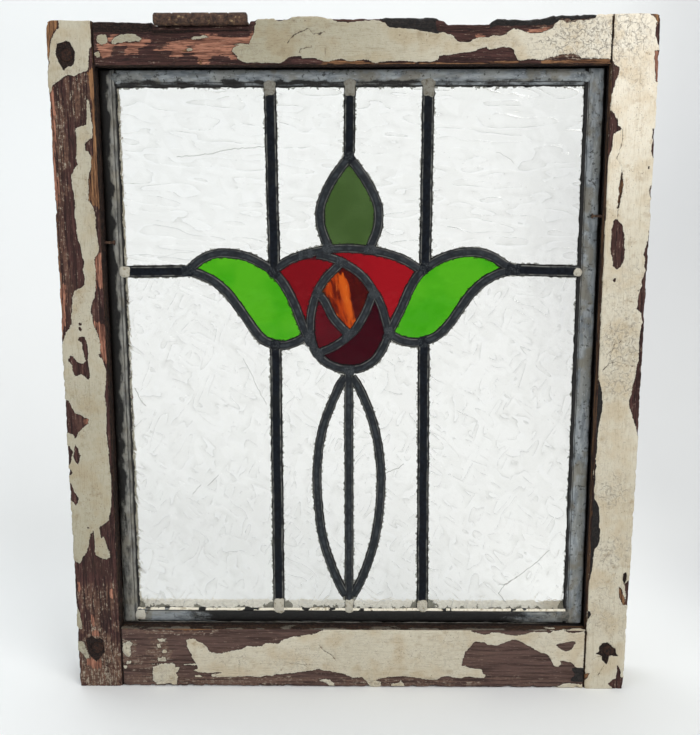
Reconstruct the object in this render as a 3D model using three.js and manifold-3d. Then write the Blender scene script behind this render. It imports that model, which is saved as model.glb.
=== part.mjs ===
// A leaded-light fanlight sash: a pegged softwood frame with a rebate on its
// outer side, and in the rebate a panel of clear and coloured glass held in
// H-section lead cames, laid out as a rose on a stem with two leaves and a bud.
//
// Millimetres. X runs along the sash, Y from its outer face to its inner face,
// Z up from the underside of the bottom rail. The outer face is towards -Y.

import * as THREE from 'three';
import { mergeVertices } from 'three/addons/utils/BufferGeometryUtils.js';
import Module from 'manifold-3d';

const wasm = await Module();
wasm.setup();

// ---------------------------------------------------------------- dimensions

// sash
const SASH_WIDTH = 457;
const SASH_HEIGHT = 537.5;
const SASH_THICK = 44;
const STILE_WIDTH = 34.5; // seen on the outer face
const TOP_RAIL = 33.5; // seen on the outer face
const BOTTOM_RAIL = 52.5;
const REBATE_DEPTH = 18; // from the outer face to the glazing stop
const STOP_WIDTH = 10; // how far the stop stands in past the rebate wall
const OVOLO = 8; // quarter-round on the inner side
const ARRIS = 1.4; // outer corners, eased
const GAP = 0.3; // clearance between touching pieces

// joints
const TENON_LENGTH = 30;
const TENON_THICK = 14;
const TENON_MARGIN = 8; // shoulder above and below a tenon
const PEG_DIAMETER = 10;
const PEG_LENGTH = 34;
const PEG_FROM_EDGE = 14.3;
const PEG_UP_TOP = 25.4; // below the top of the sash
const PEG_UP_BOTTOM = 34.3; // above its underside

// hinge and hinge housings in the top edge
const HINGE_LENGTH = 70;
const HINGE_X = -112.2;
const HINGE_LEAF = 28;
const HINGE_LEAF_THICK = 2.6;
const HINGE_BARREL = 9.2;
const HINGE_BARREL_OUT = 1.5; // barrel axis in front of the outer face
const KNUCKLES = 5;
const HOUSING_LENGTH = 71;
const HOUSING_X = 106.5;
const HOUSING_DEPTH = 4.5;
const HOUSING_OPEN = 0.52; // share of the empty housing that is clean

// leaded panel
const PANEL_X = -1.5; // the panel sits a little off centre in the rebate
const PANEL_HALF_WIDTH = 192;
const PANEL_BOTTOM = 53.3;
const PANEL_TOP = 502.7;
const PANEL_RECESS = 11; // outer face of the sash to the face of the lead
const CAME_THICK = 5.8;
const FLANGE = 1.1; // thickness of a came's faces
const HEART = 1.5; // thickness of a came's web
const BORDER_CAME = 12.5;
const BAR_CAME = 9.3;
const CURVE_CAME = 7.4;
const ROSE_CAME = 7;
const GLASS = 3;

// leadwork layout, measured from the panel's centre line and the sash's underside
const BAR_X = 60; // the two long upright bars
const CROSS_Z = 349.3; // the two level bars
const BUD_X = -0.6;
const BUD_APEX = 437.2;
const ROSE_TOP = 367.2;
const ROSE_TOP_X = -3;
const ROSE_TOP_RADIUS = 115;
const STEM_X = -1.3;
const STEM_TOP = 270;

// glazing nails that hold the panel in the rebate
const NAIL_DIAMETER = 2;
const NAIL_LENGTH = 17;
const NAIL_OUT = 8;
const NAIL_LEFT_Z = 372;
const NAIL_RIGHT_Z = 392;

// the box's middle lies between the hinge barrel's front and the inner face
const FRONT_OVERHANG = HINGE_BARREL_OUT + HINGE_BARREL / 2;
const SHIFT_Y = FRONT_OVERHANG / 2;

const FACE = -SASH_THICK / 2;
const BACK = SASH_THICK / 2;
const STOP = FACE + REBATE_DEPTH;
const EDGE = SASH_WIDTH / 2;
const OPENING = EDGE - STILE_WIDTH; // rebate wall, from the middle
const PANEL_Y = FACE + PANEL_RECESS + CAME_THICK / 2; // middle of the glass

// ---------------------------------------------------------------- materials

const paint = (color, roughness, metalness = 0) =>
  new THREE.MeshStandardMaterial({ color, roughness, metalness });
const MATERIALS = {
  wood: paint(0xb9ad90, 0.75),
  peg: paint(0x4a2f28, 0.9),
  lead: paint(0x353b43, 0.5, 0.6),
  border: paint(0x7c8288, 0.6, 0.5),
  rust: paint(0x4b3a30, 0.85, 0.3),
  clear: new THREE.MeshStandardMaterial({ color: 0xe9ecea, roughness: 0.15, metalness: 0, transparent: true, opacity: 0.35 }),
  bud: paint(0x46602f, 0.2),
  leaf: paint(0x54b428, 0.2),
  red: paint(0x9c1420, 0.2),
  maroon: paint(0x3c0410, 0.2),
  amber: paint(0xc0501a, 0.2),
};

// ---------------------------------------------------------------- solids

function toSolid(geometry) {
  const g = geometry.index ? geometry.toNonIndexed() : geometry;
  g.deleteAttribute('normal');
  g.deleteAttribute('uv');
  const m = mergeVertices(g, 1e-4);
  return new wasm.Manifold(
    new wasm.Mesh({
      numProp: 3,
      vertProperties: new Float32Array(m.attributes.position.array),
      triVerts: new Uint32Array(m.index.array),
    }),
  );
}

function toGeometry(solid) {
  const m = solid.getMesh();
  const g = new THREE.BufferGeometry();
  const p = new Float32Array(m.numVert * 3);
  for (let i = 0; i < m.numVert; i++)
    for (let k = 0; k < 3; k++) p[3 * i + k] = m.vertProperties[m.numProp * i + k];
  g.setAttribute('position', new THREE.BufferAttribute(p, 3));
  g.setIndex(Array.from(m.triVerts));
  return g;
}

// a box from its lowest to its highest corner
function block(x0, x1, y0, y1, z0, z1) {
  const g = new THREE.BoxGeometry(x1 - x0, y1 - y0, z1 - z0);
  g.translate((x0 + x1) / 2, (y0 + y1) / 2, (z0 + z1) / 2);
  return toSolid(g);
}

// an outline in X and Z, given thickness along Y
function sheet(points, y0, y1) {
  const g = new THREE.ExtrudeGeometry(new THREE.Shape(points), { depth: y1 - y0, bevelEnabled: false });
  g.rotateX(Math.PI / 2);
  g.translate(0, y1, 0);
  return toSolid(g);
}

// an outline in X and Y, run up Z
function upright(points, z0, z1) {
  const g = new THREE.ExtrudeGeometry(new THREE.Shape(points), { depth: z1 - z0, bevelEnabled: false });
  g.translate(0, 0, z0);
  return toSolid(g);
}

// an outline in Y and Z, run along X
function lying(points, x0, x1) {
  const g = new THREE.ExtrudeGeometry(new THREE.Shape(points), { depth: x1 - x0, bevelEnabled: false });
  g.applyMatrix4(new THREE.Matrix4().makeBasis(
    new THREE.Vector3(0, 1, 0), new THREE.Vector3(0, 0, 1), new THREE.Vector3(1, 0, 0)));
  g.translate(x0, 0, 0);
  return toSolid(g);
}

// a round bar along Y
function roundY(x, z, radius, y0, y1, sides = 12) {
  const g = new THREE.CylinderGeometry(radius, radius, y1 - y0, sides);
  g.translate(x, (y0 + y1) / 2, z);
  return toSolid(g);
}

// the separate bodies of a solid, each as a geometry
function bodies(solid) {
  const g = toGeometry(solid);
  const index = g.index.array;
  const parent = Array.from({ length: g.attributes.position.count }, (_, i) => i);
  const root = (i) => {
    while (parent[i] !== i) i = parent[i] = parent[parent[i]];
    return i;
  };
  for (let t = 0; t < index.length; t += 3) {
    parent[root(index[t])] = root(index[t + 1]);
    parent[root(index[t + 1])] = root(index[t + 2]);
  }
  const groups = new Map();
  for (let t = 0; t < index.length; t += 3) {
    const r = root(index[t]);
    if (!groups.has(r)) groups.set(r, []);
    groups.get(r).push(index[t], index[t + 1], index[t + 2]);
  }
  return [...groups.values()].map((own) => {
    const part = new THREE.BufferGeometry();
    part.setAttribute('position', g.attributes.position.clone());
    part.setIndex(own);
    return mergeVertices(part.toNonIndexed(), 1e-5);
  });
}

function volumeOf(g) {
  const p = g.attributes.position;
  const [a, b, c] = [0, 1, 2].map(() => new THREE.Vector3());
  let v = 0;
  for (let t = 0; t < g.index.count; t += 3) {
    a.fromBufferAttribute(p, g.index.getX(t));
    b.fromBufferAttribute(p, g.index.getX(t + 1));
    c.fromBufferAttribute(p, g.index.getX(t + 2));
    v += a.dot(b.cross(c)) / 6;
  }
  return v;
}

const largest = (solid) => bodies(solid).sort((a, b) => volumeOf(b) - volumeOf(a))[0];

// ---------------------------------------------------------------- sash

// Half section of a stile or rail: u runs from the sight edge outwards (0 at
// the rebate wall, negative on the stop), v is depth. The stop has a
// quarter-round on its inner side.
function memberSection(width, grow = 0) {
  const pts = [
    [width - ARRIS, FACE], [width, FACE + ARRIS], [width, BACK - ARRIS], [width - ARRIS, BACK],
  ];
  const steps = 4;
  for (let i = 0; i <= steps; i++) {
    const a = (i / steps) * (Math.PI / 2);
    pts.push([-STOP_WIDTH - grow + OVOLO * (1 - Math.sin(a)), BACK - OVOLO + OVOLO * Math.cos(a)]);
  }
  pts.push([-STOP_WIDTH - grow, STOP - grow], [-grow, STOP - grow], [-grow, FACE + ARRIS / 2 - grow], [ARRIS / 2 - grow, FACE - grow]);
  return pts;
}

function stile(side, grow = 0) {
  const pts = memberSection(STILE_WIDTH, grow).map(([u, v]) => new THREE.Vector2(side * (OPENING + u), v));
  return upright(pts, grow ? -5 : 0, SASH_HEIGHT + (grow ? 5 : 0));
}

function rail(low, high, up) {
  // up is +1 for the top rail, whose sight edge faces down, -1 for the bottom rail
  const width = high - low;
  const pts = memberSection(width).map(([u, v]) => new THREE.Vector2(v, up > 0 ? low + u : high - u));
  return lying(pts, -OPENING - 5, OPENING + 5);
}

function tenonBox(side, low, high, grow = 0) {
  const x0 = OPENING - STOP_WIDTH - 12;
  const x1 = OPENING + TENON_LENGTH + grow;
  const mid = STOP + 8;
  const y0 = mid - TENON_THICK / 2 - grow;
  const y1 = mid + TENON_THICK / 2 + grow;
  return side > 0 ? block(x0, x1, y0, y1, low - grow, high + grow) : block(-x1, -x0, y0, y1, low - grow, high + grow);
}

const TOP_LOW = SASH_HEIGHT - TOP_RAIL;
const topTenon = [TOP_LOW - STOP_WIDTH + TENON_MARGIN / 2, SASH_HEIGHT - TENON_MARGIN];
const bottomTenon = [TENON_MARGIN, BOTTOM_RAIL + STOP_WIDTH - TENON_MARGIN];
const PEGS = [
  { name: 'peg_top_left', side: -1, z: SASH_HEIGHT - PEG_UP_TOP },
  { name: 'peg_bottom_left', side: -1, z: PEG_UP_BOTTOM },
  { name: 'peg_bottom_right', side: 1, z: PEG_UP_BOTTOM },
];
const pegX = (side) => side * (EDGE - PEG_FROM_EDGE);
const drill = (solid) => PEGS.reduce(
  (s, p) => s.subtract(roundY(pegX(p.side), p.z, PEG_DIAMETER / 2 + GAP, FACE - 1, FACE + PEG_LENGTH + GAP)), solid);

const NAILS = [
  { name: 'glazing_nail_left', side: -1, z: NAIL_LEFT_Z },
  { name: 'glazing_nail_right', side: 1, z: NAIL_RIGHT_Z },
];
const NAIL_HEAD = NAIL_DIAMETER / 2 + 0.9;
const NAIL_Y = FACE + PANEL_RECESS - GAP - NAIL_HEAD; // the head rests on the lead

// a nail lies level across the face of the border came, its point in the rebate wall
function nail({ side, z }, grow = 0) {
  const inner = OPENING - NAIL_OUT;
  const profile = [
    [0, 0], [NAIL_HEAD + grow, 0], [NAIL_HEAD + grow, 0.9 + grow],
    [NAIL_DIAMETER / 2 + grow, 1.4 + grow], [NAIL_DIAMETER / 2 + grow, NAIL_LENGTH - 3], [0.3 + grow, NAIL_LENGTH + grow], [0, NAIL_LENGTH + grow],
  ].map(([r, h]) => new THREE.Vector2(r, h));
  const g = new THREE.LatheGeometry(profile, 8);
  g.rotateZ(side > 0 ? -Math.PI / 2 : Math.PI / 2);
  g.translate(side * inner, NAIL_Y, z);
  return toSolid(g);
}

const stiles = {};
for (const [name, side] of [['stile_left', -1], ['stile_right', 1]]) {
  let s = stile(side);
  s = s.subtract(tenonBox(side, ...topTenon, GAP)).subtract(tenonBox(side, ...bottomTenon, GAP));
  s = drill(s);
  for (const n of NAILS.filter((k) => k.side === side)) s = s.subtract(nail(n, GAP));
  stiles[name] = s;
}

function fitted(body, tenon) {
  let s = body.subtract(stile(-1, GAP)).subtract(stile(1, GAP));
  // what is left past the shoulders is waste
  s = s.intersect(block(-OPENING + GAP, OPENING - GAP, FACE - 5, BACK + 5, -5, SASH_HEIGHT + 5));
  s = s.add(tenonBox(-1, ...tenon)).add(tenonBox(1, ...tenon));
  return drill(s);
}

let railTop = fitted(rail(TOP_LOW, SASH_HEIGHT, 1), topTenon);
const railBottom = fitted(rail(0, BOTTOM_RAIL, -1), bottomTenon);

// housings for the two hinges, let into the outer top edge
const leafFloor = SASH_HEIGHT - HINGE_LEAF_THICK - 1.2;
const hx = [HINGE_X - HINGE_LENGTH / 2 - 1, HINGE_X + HINGE_LENGTH / 2 + 1];
railTop = railTop
  .subtract(block(hx[0], hx[1], FACE - 5, FACE + HINGE_LEAF + 1, leafFloor, SASH_HEIGHT + 5))
  .subtract(block(hx[0], hx[1], FACE - 5, FACE + 5.6, leafFloor - 2.4, SASH_HEIGHT + 5));
const ex = [HOUSING_X - HOUSING_LENGTH / 2, HOUSING_X + HOUSING_LENGTH / 2];
const cleanEnd = ex[0] + HOUSING_LENGTH * HOUSING_OPEN;
railTop = railTop
  .subtract(block(ex[0], cleanEnd, FACE - 5, FACE + HINGE_LEAF + 1, SASH_HEIGHT - HOUSING_DEPTH, SASH_HEIGHT + 5))
  .subtract(block(cleanEnd - 0.1, ex[1], FACE - 5, FACE + HINGE_LEAF + 1, SASH_HEIGHT - 1.2, SASH_HEIGHT + 5));

// the hinge: one leaf in its housing and a barrel of knuckles along the outer face
function hinge() {
  const R = HINGE_BARREL / 2;
  const profile = [[0, 0], [R - 1.2, 0], [R, 1.2]];
  for (let k = 1; k < KNUCKLES; k++) {
    const h = (HINGE_LENGTH * k) / KNUCKLES;
    profile.push([R, h - 0.7], [R - 0.7, h], [R, h + 0.7]);
  }
  profile.push([R, HINGE_LENGTH - 1.2], [R - 1.2, HINGE_LENGTH], [0, HINGE_LENGTH]);
  const g = new THREE.LatheGeometry(profile.map(([r, h]) => new THREE.Vector2(r, h)), 14);
  g.rotateZ(-Math.PI / 2);
  g.translate(HINGE_X - HINGE_LENGTH / 2, FACE - HINGE_BARREL_OUT, SASH_HEIGHT - 0.4);
  const leafLow = leafFloor + GAP;
  return toSolid(g).add(block(
    HINGE_X - HINGE_LENGTH / 2 + 0.4, HINGE_X + HINGE_LENGTH / 2 - 0.4,
    FACE - HINGE_BARREL_OUT, FACE + HINGE_LEAF, leafLow, leafLow + HINGE_LEAF_THICK));
}

// ---------------------------------------------------------------- leadwork

const P = (x, z) => new THREE.Vector2(PANEL_X + x, z);
const straight = (x0, z0, x1, z1) => [P(x0, z0), P(x1, z1)];
const flowing = (anchors, segments) =>
  new THREE.SplineCurve(anchors.map(([x, z]) => P(x, z))).getSpacedPoints(segments);

// a flat arch from x0 to x1, highest at its middle
function arcLine(x0, x1, middle, top, radius, segments) {
  const [a, b] = [x0, x1].map((x) => Math.asin((x - middle) / radius));
  return Array.from({ length: segments + 1 }, (_, i) => {
    const t = a + ((b - a) * i) / segments;
    return P(middle + radius * Math.sin(t), top - radius * (1 - Math.cos(t)));
  });
}

// one side of a form about an upright axis, from [distance from the axis, height]
const sideOf = (shape, axis, side) => shape.map(([w, z]) => [axis + side * w, z]);

// the bud, from its apex down to the rose
const bud = [[0, BUD_APEX], [5.8, 430], [12.9, 420], [18.4, 410], [22.2, 400], [22.9, 390], [21.2, 380], [16.8, 369]];

// the long lens round the stem, from the rose down to the foot
const lens = [[2.4, 267], [10.6, 250], [18.6, 230], [23.5, 210], [26, 190], [26.4, 175], [25, 150], [22.2, 130], [17, 110], [9.6, 90], [1, 73]];

const leafLeft = {
  upper: [[-128.5, 349.2], [-122.5, 355], [-115.5, 359.8], [-107, 362.8], [-97, 363.4], [-83, 361], [-70, 355.2], [-59.5, 347.2], [-51.5, 337], [-45, 324], [-39.5, 309.5], [-32.5, 292]],
  lower: [[-128.5, 349.2], [-118, 346.2], [-107.5, 340.6], [-97, 331], [-87.5, 318.4], [-77.5, 303], [-68.5, 293.4], [-55, 289.9], [-42.5, 293], [-31.5, 300]],
};
const leafRight = {
  upper: [[128.5, 350.2], [120, 355.4], [111, 360.9], [101, 363.7], [88, 363.6], [75, 360.4], [63, 354], [53.5, 345.8], [46.5, 334], [40.5, 319.5], [30.6, 299.5]],
  lower: [[128.5, 350.2], [117, 346.8], [106, 340.8], [95, 330.4], [86, 317.4], [77.5, 305.3], [67.5, 296.3], [53.5, 292], [41, 293.8], [30.8, 299.5]],
};
const rose = {
  sweep: [[-35, 362.8], [-24, 361.9], [-12, 358.6], [-2, 353.9], [9, 345.8], [19.6, 331.5], [25.6, 318.5], [30.8, 300]],
  body: [[-6.5, 355.9], [-18.3, 345], [-26.6, 332], [-31.3, 314], [-31.6, 298], [-28, 285.4], [-20, 276.2], [-10, 271.4], [0, 270.3], [10, 272], [20, 278.6], [27.3, 290], [30.8, 300.4]],
  veeRight: [[20.3, 335], [16.4, 326.5], [10.8, 313.5], [4, 302.6], [-4, 295.2], [-14, 288.5], [-27.2, 282.4]],
  veeLeft: [[-26.5, 332.6], [-20.6, 325.6], [-14.4, 313], [-7.6, 304.8], [-0.8, 298.4]],
};

const MID = PANEL_HALF_WIDTH - BORDER_CAME / 2; // web of the upright border cames
const LOW = PANEL_BOTTOM + BORDER_CAME / 2;
const HIGH = PANEL_TOP - BORDER_CAME / 2;

// Every line of lead: its path, its width, the cames that its ends run up to,
// and any others that it is trimmed to clear.
const LINES = {
  came_border_left: { path: straight(-MID, PANEL_BOTTOM, -MID, PANEL_TOP), width: BORDER_CAME, butts: [], border: true },
  came_border_right: { path: straight(MID, PANEL_BOTTOM, MID, PANEL_TOP), width: BORDER_CAME, butts: [], border: true },
  came_border_top: { path: straight(-MID, HIGH, MID, HIGH), width: BORDER_CAME, butts: ['came_border_left', 'came_border_right'], border: true },
  came_border_bottom: { path: straight(-MID, LOW, MID, LOW), width: BORDER_CAME, butts: ['came_border_left', 'came_border_right'], border: true },
  came_bar_upper_left: { path: straight(-BAR_X - 1.4, HIGH, -BAR_X, 348), width: BAR_CAME, butts: ['came_border_top', 'came_leaf_left_upper'] },
  came_bar_upper_right: { path: straight(BAR_X + 0.2, HIGH, BAR_X - 0.8, 352), width: BAR_CAME, butts: ['came_border_top', 'came_leaf_right_upper'] },
  came_bar_lower_left: { path: straight(-BAR_X, 290.4, -BAR_X - 0.6, LOW), width: BAR_CAME, butts: ['came_border_bottom', 'came_leaf_left_lower'] },
  came_bar_lower_right: { path: straight(BAR_X - 1.1, 291, BAR_X + 0.2, LOW), width: BAR_CAME, butts: ['came_border_bottom', 'came_leaf_right_lower'] },
  came_bar_top_centre: { path: straight(0.2, HIGH, BUD_X, BUD_APEX), width: BAR_CAME - 0.6, butts: ['came_border_top', 'came_bud_left', 'came_bud_right'] },
  came_bar_cross_left: { path: straight(-MID, CROSS_Z - 0.6, -127.5, CROSS_Z), width: BAR_CAME, butts: ['came_border_left', 'came_leaf_left_upper', 'came_leaf_left_lower'] },
  came_bar_cross_right: { path: straight(MID, CROSS_Z - 0.6, 127.5, CROSS_Z + 0.9), width: BAR_CAME, butts: ['came_border_right', 'came_leaf_right_upper', 'came_leaf_right_lower'] },
  came_bud_left: { path: flowing(sideOf(bud, BUD_X, -1), 9), width: CURVE_CAME, butts: ['came_rose_top'], mitre: -1 },
  came_bud_right: { path: flowing(sideOf(bud, BUD_X, 1), 9), width: CURVE_CAME, butts: ['came_rose_top'], mitre: 1 },
  came_leaf_left_upper: { path: flowing(leafLeft.upper, 15), width: CURVE_CAME, butts: ['came_rose_body'] },
  came_leaf_left_lower: { path: flowing(leafLeft.lower, 12), width: CURVE_CAME, butts: ['came_rose_body', 'came_leaf_left_upper'] },
  came_leaf_right_upper: { path: flowing(leafRight.upper, 15), width: CURVE_CAME, butts: ['came_rose_sweep', 'came_rose_body'] },
  came_leaf_right_lower: { path: flowing(leafRight.lower, 12), width: CURVE_CAME, butts: ['came_rose_sweep', 'came_rose_body', 'came_leaf_right_upper'] },
  came_rose_top: { path: arcLine(-58, 54, ROSE_TOP_X, ROSE_TOP, ROSE_TOP_RADIUS, 9), width: ROSE_CAME, butts: ['came_leaf_left_upper', 'came_leaf_right_upper'], clears: ['came_bar_upper_left', 'came_bar_upper_right'] },
  came_rose_sweep: { path: flowing(rose.sweep, 12), width: ROSE_CAME, butts: ['came_rose_top'] },
  came_rose_body: { path: flowing(rose.body, 20), width: ROSE_CAME, butts: ['came_rose_sweep'] },
  came_rose_vee_right: { path: flowing(rose.veeRight, 8), width: ROSE_CAME, butts: ['came_rose_sweep', 'came_rose_body'] },
  came_rose_vee_left: { path: flowing(rose.veeLeft, 5), width: ROSE_CAME, butts: ['came_rose_body', 'came_rose_vee_right'] },
  came_stem: { path: straight(STEM_X, STEM_TOP, STEM_X, LOW), width: CURVE_CAME - 0.2, butts: ['came_rose_body', 'came_border_bottom'] },
  came_lens_left: { path: flowing(sideOf(lens, STEM_X, -1), 14), width: CURVE_CAME - 0.2, butts: ['came_rose_body', 'came_stem'] },
  came_lens_right: { path: flowing(sideOf(lens, STEM_X, 1), 14), width: CURVE_CAME - 0.2, butts: ['came_rose_body', 'came_stem'] },
};

// the nearest spot to a point on a path
function nearest(path, q) {
  let best = null;
  for (let i = 1; i < path.length; i++) {
    const d = path[i].clone().sub(path[i - 1]);
    const t = THREE.MathUtils.clamp(q.clone().sub(path[i - 1]).dot(d) / d.lengthSq(), 0, 1);
    const spot = path[i - 1].clone().addScaledVector(d, t);
    if (!best || spot.distanceTo(q) < best.distanceTo(q)) best = spot;
  }
  return best;
}

// Each end that butts against another came is carried to that came's web.
const REACH = 6;
for (const line of Object.values(LINES)) {
  for (const end of [0, line.path.length - 1]) {
    const q = line.path[end];
    const spots = line.butts.map((b) => nearest(LINES[b].path, q)).filter((s) => s.distanceTo(q) < REACH);
    spots.sort((a, b) => a.distanceTo(q) - b.distanceTo(q));
    if (spots.length) line.path[end] = spots[0];
  }
}

// outline of a strip of even width along a path, with both ends run on a little
function strip(path, half, runOn = 0) {
  const n = path.length;
  const dir = (i) => {
    const d = new THREE.Vector2();
    if (i > 0) d.add(path[i].clone().sub(path[i - 1]).normalize());
    if (i < n - 1) d.add(path[i + 1].clone().sub(path[i]).normalize());
    return d.normalize();
  };
  const one = [];
  const other = [];
  for (let i = 0; i < n; i++) {
    const d = dir(i);
    const p = path[i].clone();
    if (i === 0) p.addScaledVector(d, -runOn);
    if (i === n - 1) p.addScaledVector(d, runOn);
    one.push(new THREE.Vector2(p.x - d.y * half, p.y + d.x * half));
    other.push(new THREE.Vector2(p.x + d.y * half, p.y - d.x * half));
  }
  return [...one, ...other.reverse()];
}

const y0 = PANEL_Y - CAME_THICK / 2;
const y1 = PANEL_Y + CAME_THICK / 2;

function came(name) {
  const { path, width, butts, clears = [], mitre } = LINES[name];
  let s = sheet(strip(path, width / 2), y0, y0 + FLANGE)
    .add(sheet(strip(path, width / 2), y1 - FLANGE, y1))
    .add(sheet(strip(path, HEART / 2), y0 + FLANGE / 2, y1 - FLANGE / 2));
  for (const b of [...butts, ...clears]) {
    const other = LINES[b];
    s = s.subtract(sheet(strip(other.path, other.width / 2 + GAP, GAP), y0 - 1, y1 + 1));
  }
  if (mitre) {
    const inner = mitre > 0 ? [GAP / 2, 200] : [-200, -GAP / 2];
    s = s.intersect(block(PANEL_X + BUD_X + inner[0], PANEL_X + BUD_X + inner[1], y0 - 1, y1 + 1, 0, SASH_HEIGHT));
  }
  return largest(s);
}

// Glass is cut from one sheet along the webs of the leads.
const glassEdge = MID - HEART / 2 - GAP;
let glass = block(PANEL_X - glassEdge, PANEL_X + glassEdge, PANEL_Y - GLASS / 2, PANEL_Y + GLASS / 2,
  LOW + HEART / 2 + GAP, HIGH - HEART / 2 - GAP);
for (const { path, border } of Object.values(LINES)) {
  if (!border) glass = glass.subtract(sheet(strip(path, HEART / 2 + GAP, GAP), PANEL_Y - GLASS, PANEL_Y + GLASS));
}

// A piece is known by a spot that lies on it.
const GLAZING = {
  glass_upper_left: [-120, 430, 'clear'],
  glass_upper_mid_left: [-38, 440, 'clear'],
  glass_upper_mid_right: [38, 440, 'clear'],
  glass_upper_right: [120, 430, 'clear'],
  glass_lower_left: [-120, 200, 'clear'],
  glass_lower_mid_left: [-45, 150, 'clear'],
  glass_lower_mid_right: [45, 150, 'clear'],
  glass_lower_right: [120, 200, 'clear'],
  glass_lens_left: [-13, 180, 'clear'],
  glass_lens_right: [11, 180, 'clear'],
  glass_bud: [0, 395, 'bud'],
  glass_leaf_left: [-74, 325, 'leaf'],
  glass_leaf_right: [74, 330, 'leaf'],
  glass_petal_outer_left: [-38, 342, 'red'],
  glass_petal_outer_right: [36, 343, 'red'],
  glass_rose_heart: [0, 326, 'amber'],
  glass_petal_inner_left: [-21, 300, 'red'],
  glass_petal_lower: [15, 290, 'maroon'],
};

function holds(g, x, z) {
  const p = g.attributes.position;
  for (let t = 0; t < g.index.count; t += 3) {
    const v = [0, 1, 2].map((k) => g.index.getX(t + k));
    if (v.some((i) => p.getY(i) > PANEL_Y)) continue;
    const s = v.map((i, k) => {
      const j = v[(k + 1) % 3];
      return (p.getX(j) - p.getX(i)) * (z - p.getZ(i)) - (p.getZ(j) - p.getZ(i)) * (x - p.getX(i));
    });
    if (s.every((e) => e > 0) || s.every((e) => e < 0)) return true;
  }
  return false;
}

// ---------------------------------------------------------------- assembly

const sash = new THREE.Group();
sash.position.y = SHIFT_Y;
const woodwork = new THREE.Group();
const leadwork = new THREE.Group();
const glazing = new THREE.Group();
const ironwork = new THREE.Group();
sash.add(woodwork, leadwork, glazing, ironwork);

function put(group, name, geometry, material) {
  geometry.computeVertexNormals();
  const mesh = new THREE.Mesh(geometry, material);
  mesh.name = name;
  group.add(mesh);
}

put(woodwork, 'stile_left', largest(stiles.stile_left), MATERIALS.wood);
put(woodwork, 'stile_right', largest(stiles.stile_right), MATERIALS.wood);
put(woodwork, 'rail_top', largest(railTop), MATERIALS.wood);
put(woodwork, 'rail_bottom', largest(railBottom), MATERIALS.wood);
for (const { name, side, z } of PEGS)
  put(woodwork, name, toGeometry(roundY(pegX(side), z, PEG_DIAMETER / 2, FACE + 0.2, FACE + PEG_LENGTH)), MATERIALS.peg);

put(ironwork, 'hinge_leaf', toGeometry(hinge()), MATERIALS.rust);
for (const n of NAILS) put(ironwork, n.name, toGeometry(nail(n)), MATERIALS.rust);

for (const name of Object.keys(LINES))
  put(leadwork, name, came(name), LINES[name].border ? MATERIALS.border : MATERIALS.lead);

const pieces = bodies(glass);
for (const [name, [x, z, kind]] of Object.entries(GLAZING)) {
  const piece = pieces.find((g) => holds(g, PANEL_X + x, z));
  if (!piece) throw new Error(`no glass at ${name}`);
  put(glazing, name, piece, MATERIALS[kind]);
}

export default sash;
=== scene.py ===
# Visual model of a small leaded-light sash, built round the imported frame.
# Lengths are millimetres in the sash's own frame (x right, y into the sash, z up) until to_world().
import math

import bpy
import numpy as np
from mathutils import Matrix, Vector
from mathutils.geometry import delaunay_2d_cdt
from mathutils.kdtree import KDTree


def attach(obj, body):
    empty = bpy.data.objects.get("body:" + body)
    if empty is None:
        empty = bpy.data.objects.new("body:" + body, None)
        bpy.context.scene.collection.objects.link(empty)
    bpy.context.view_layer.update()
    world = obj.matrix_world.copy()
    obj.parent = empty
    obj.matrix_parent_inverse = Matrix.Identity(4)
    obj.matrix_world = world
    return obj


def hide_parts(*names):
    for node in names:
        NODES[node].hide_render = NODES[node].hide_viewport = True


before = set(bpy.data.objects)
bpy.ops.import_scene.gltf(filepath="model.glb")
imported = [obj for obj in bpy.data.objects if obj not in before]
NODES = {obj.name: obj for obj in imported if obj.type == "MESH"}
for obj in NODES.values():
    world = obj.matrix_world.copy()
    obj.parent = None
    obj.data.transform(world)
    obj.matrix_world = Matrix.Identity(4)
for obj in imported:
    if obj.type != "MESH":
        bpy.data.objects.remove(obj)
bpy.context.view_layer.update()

# ---------------------------------------------------------------- sizes
SHIFT_Y = 3.05          # the hinge barrel stands out in front, so the row's middle is this far back
FACE, BACK, STOP = -22.0, 22.0, -4.0
EDGE, OPENING = 228.5, 194.0
HEIGHT, TOP_LOW, BOTTOM_HIGH = 537.5, 504.0, 52.5
STOP_WIDTH, OVOLO = 10.0, 8.0
PANEL_X = -1.5
LEAD_FRONT, LEAD_BACK = -11.0, -5.2
GLASS_FRONT, GLASS_BACK = -9.6, -6.6
BORDER, BAR, CURVE, ROSE = 12.5, 9.3, 7.4, 7.0
MID, LOW, HIGH = 192 - 6.25, 53.3 + 6.25, 502.7 - 6.25


def to_world(p):
    p = np.asarray(p, float)
    return np.stack([p[:, 0], p[:, 1] + SHIFT_Y, p[:, 2]], 1) * 0.001


# ---------------------------------------------------------------- noise
def _hash(ix, iy, iz, seed):
    h = (ix.astype(np.uint32) * np.uint32(374761393) + iy.astype(np.uint32) * np.uint32(668265263)
         + iz.astype(np.uint32) * np.uint32(2246822519) + np.uint32((seed * 3266489917) % 4294967296))
    h = (h ^ (h >> np.uint32(13))) * np.uint32(1274126177)
    h = (h ^ (h >> np.uint32(16))) * np.uint32(2654435761)
    return ((h ^ (h >> np.uint32(15))) & np.uint32(0xFFFFFF)).astype(np.float64) / 8388607.5 - 1.0


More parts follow.
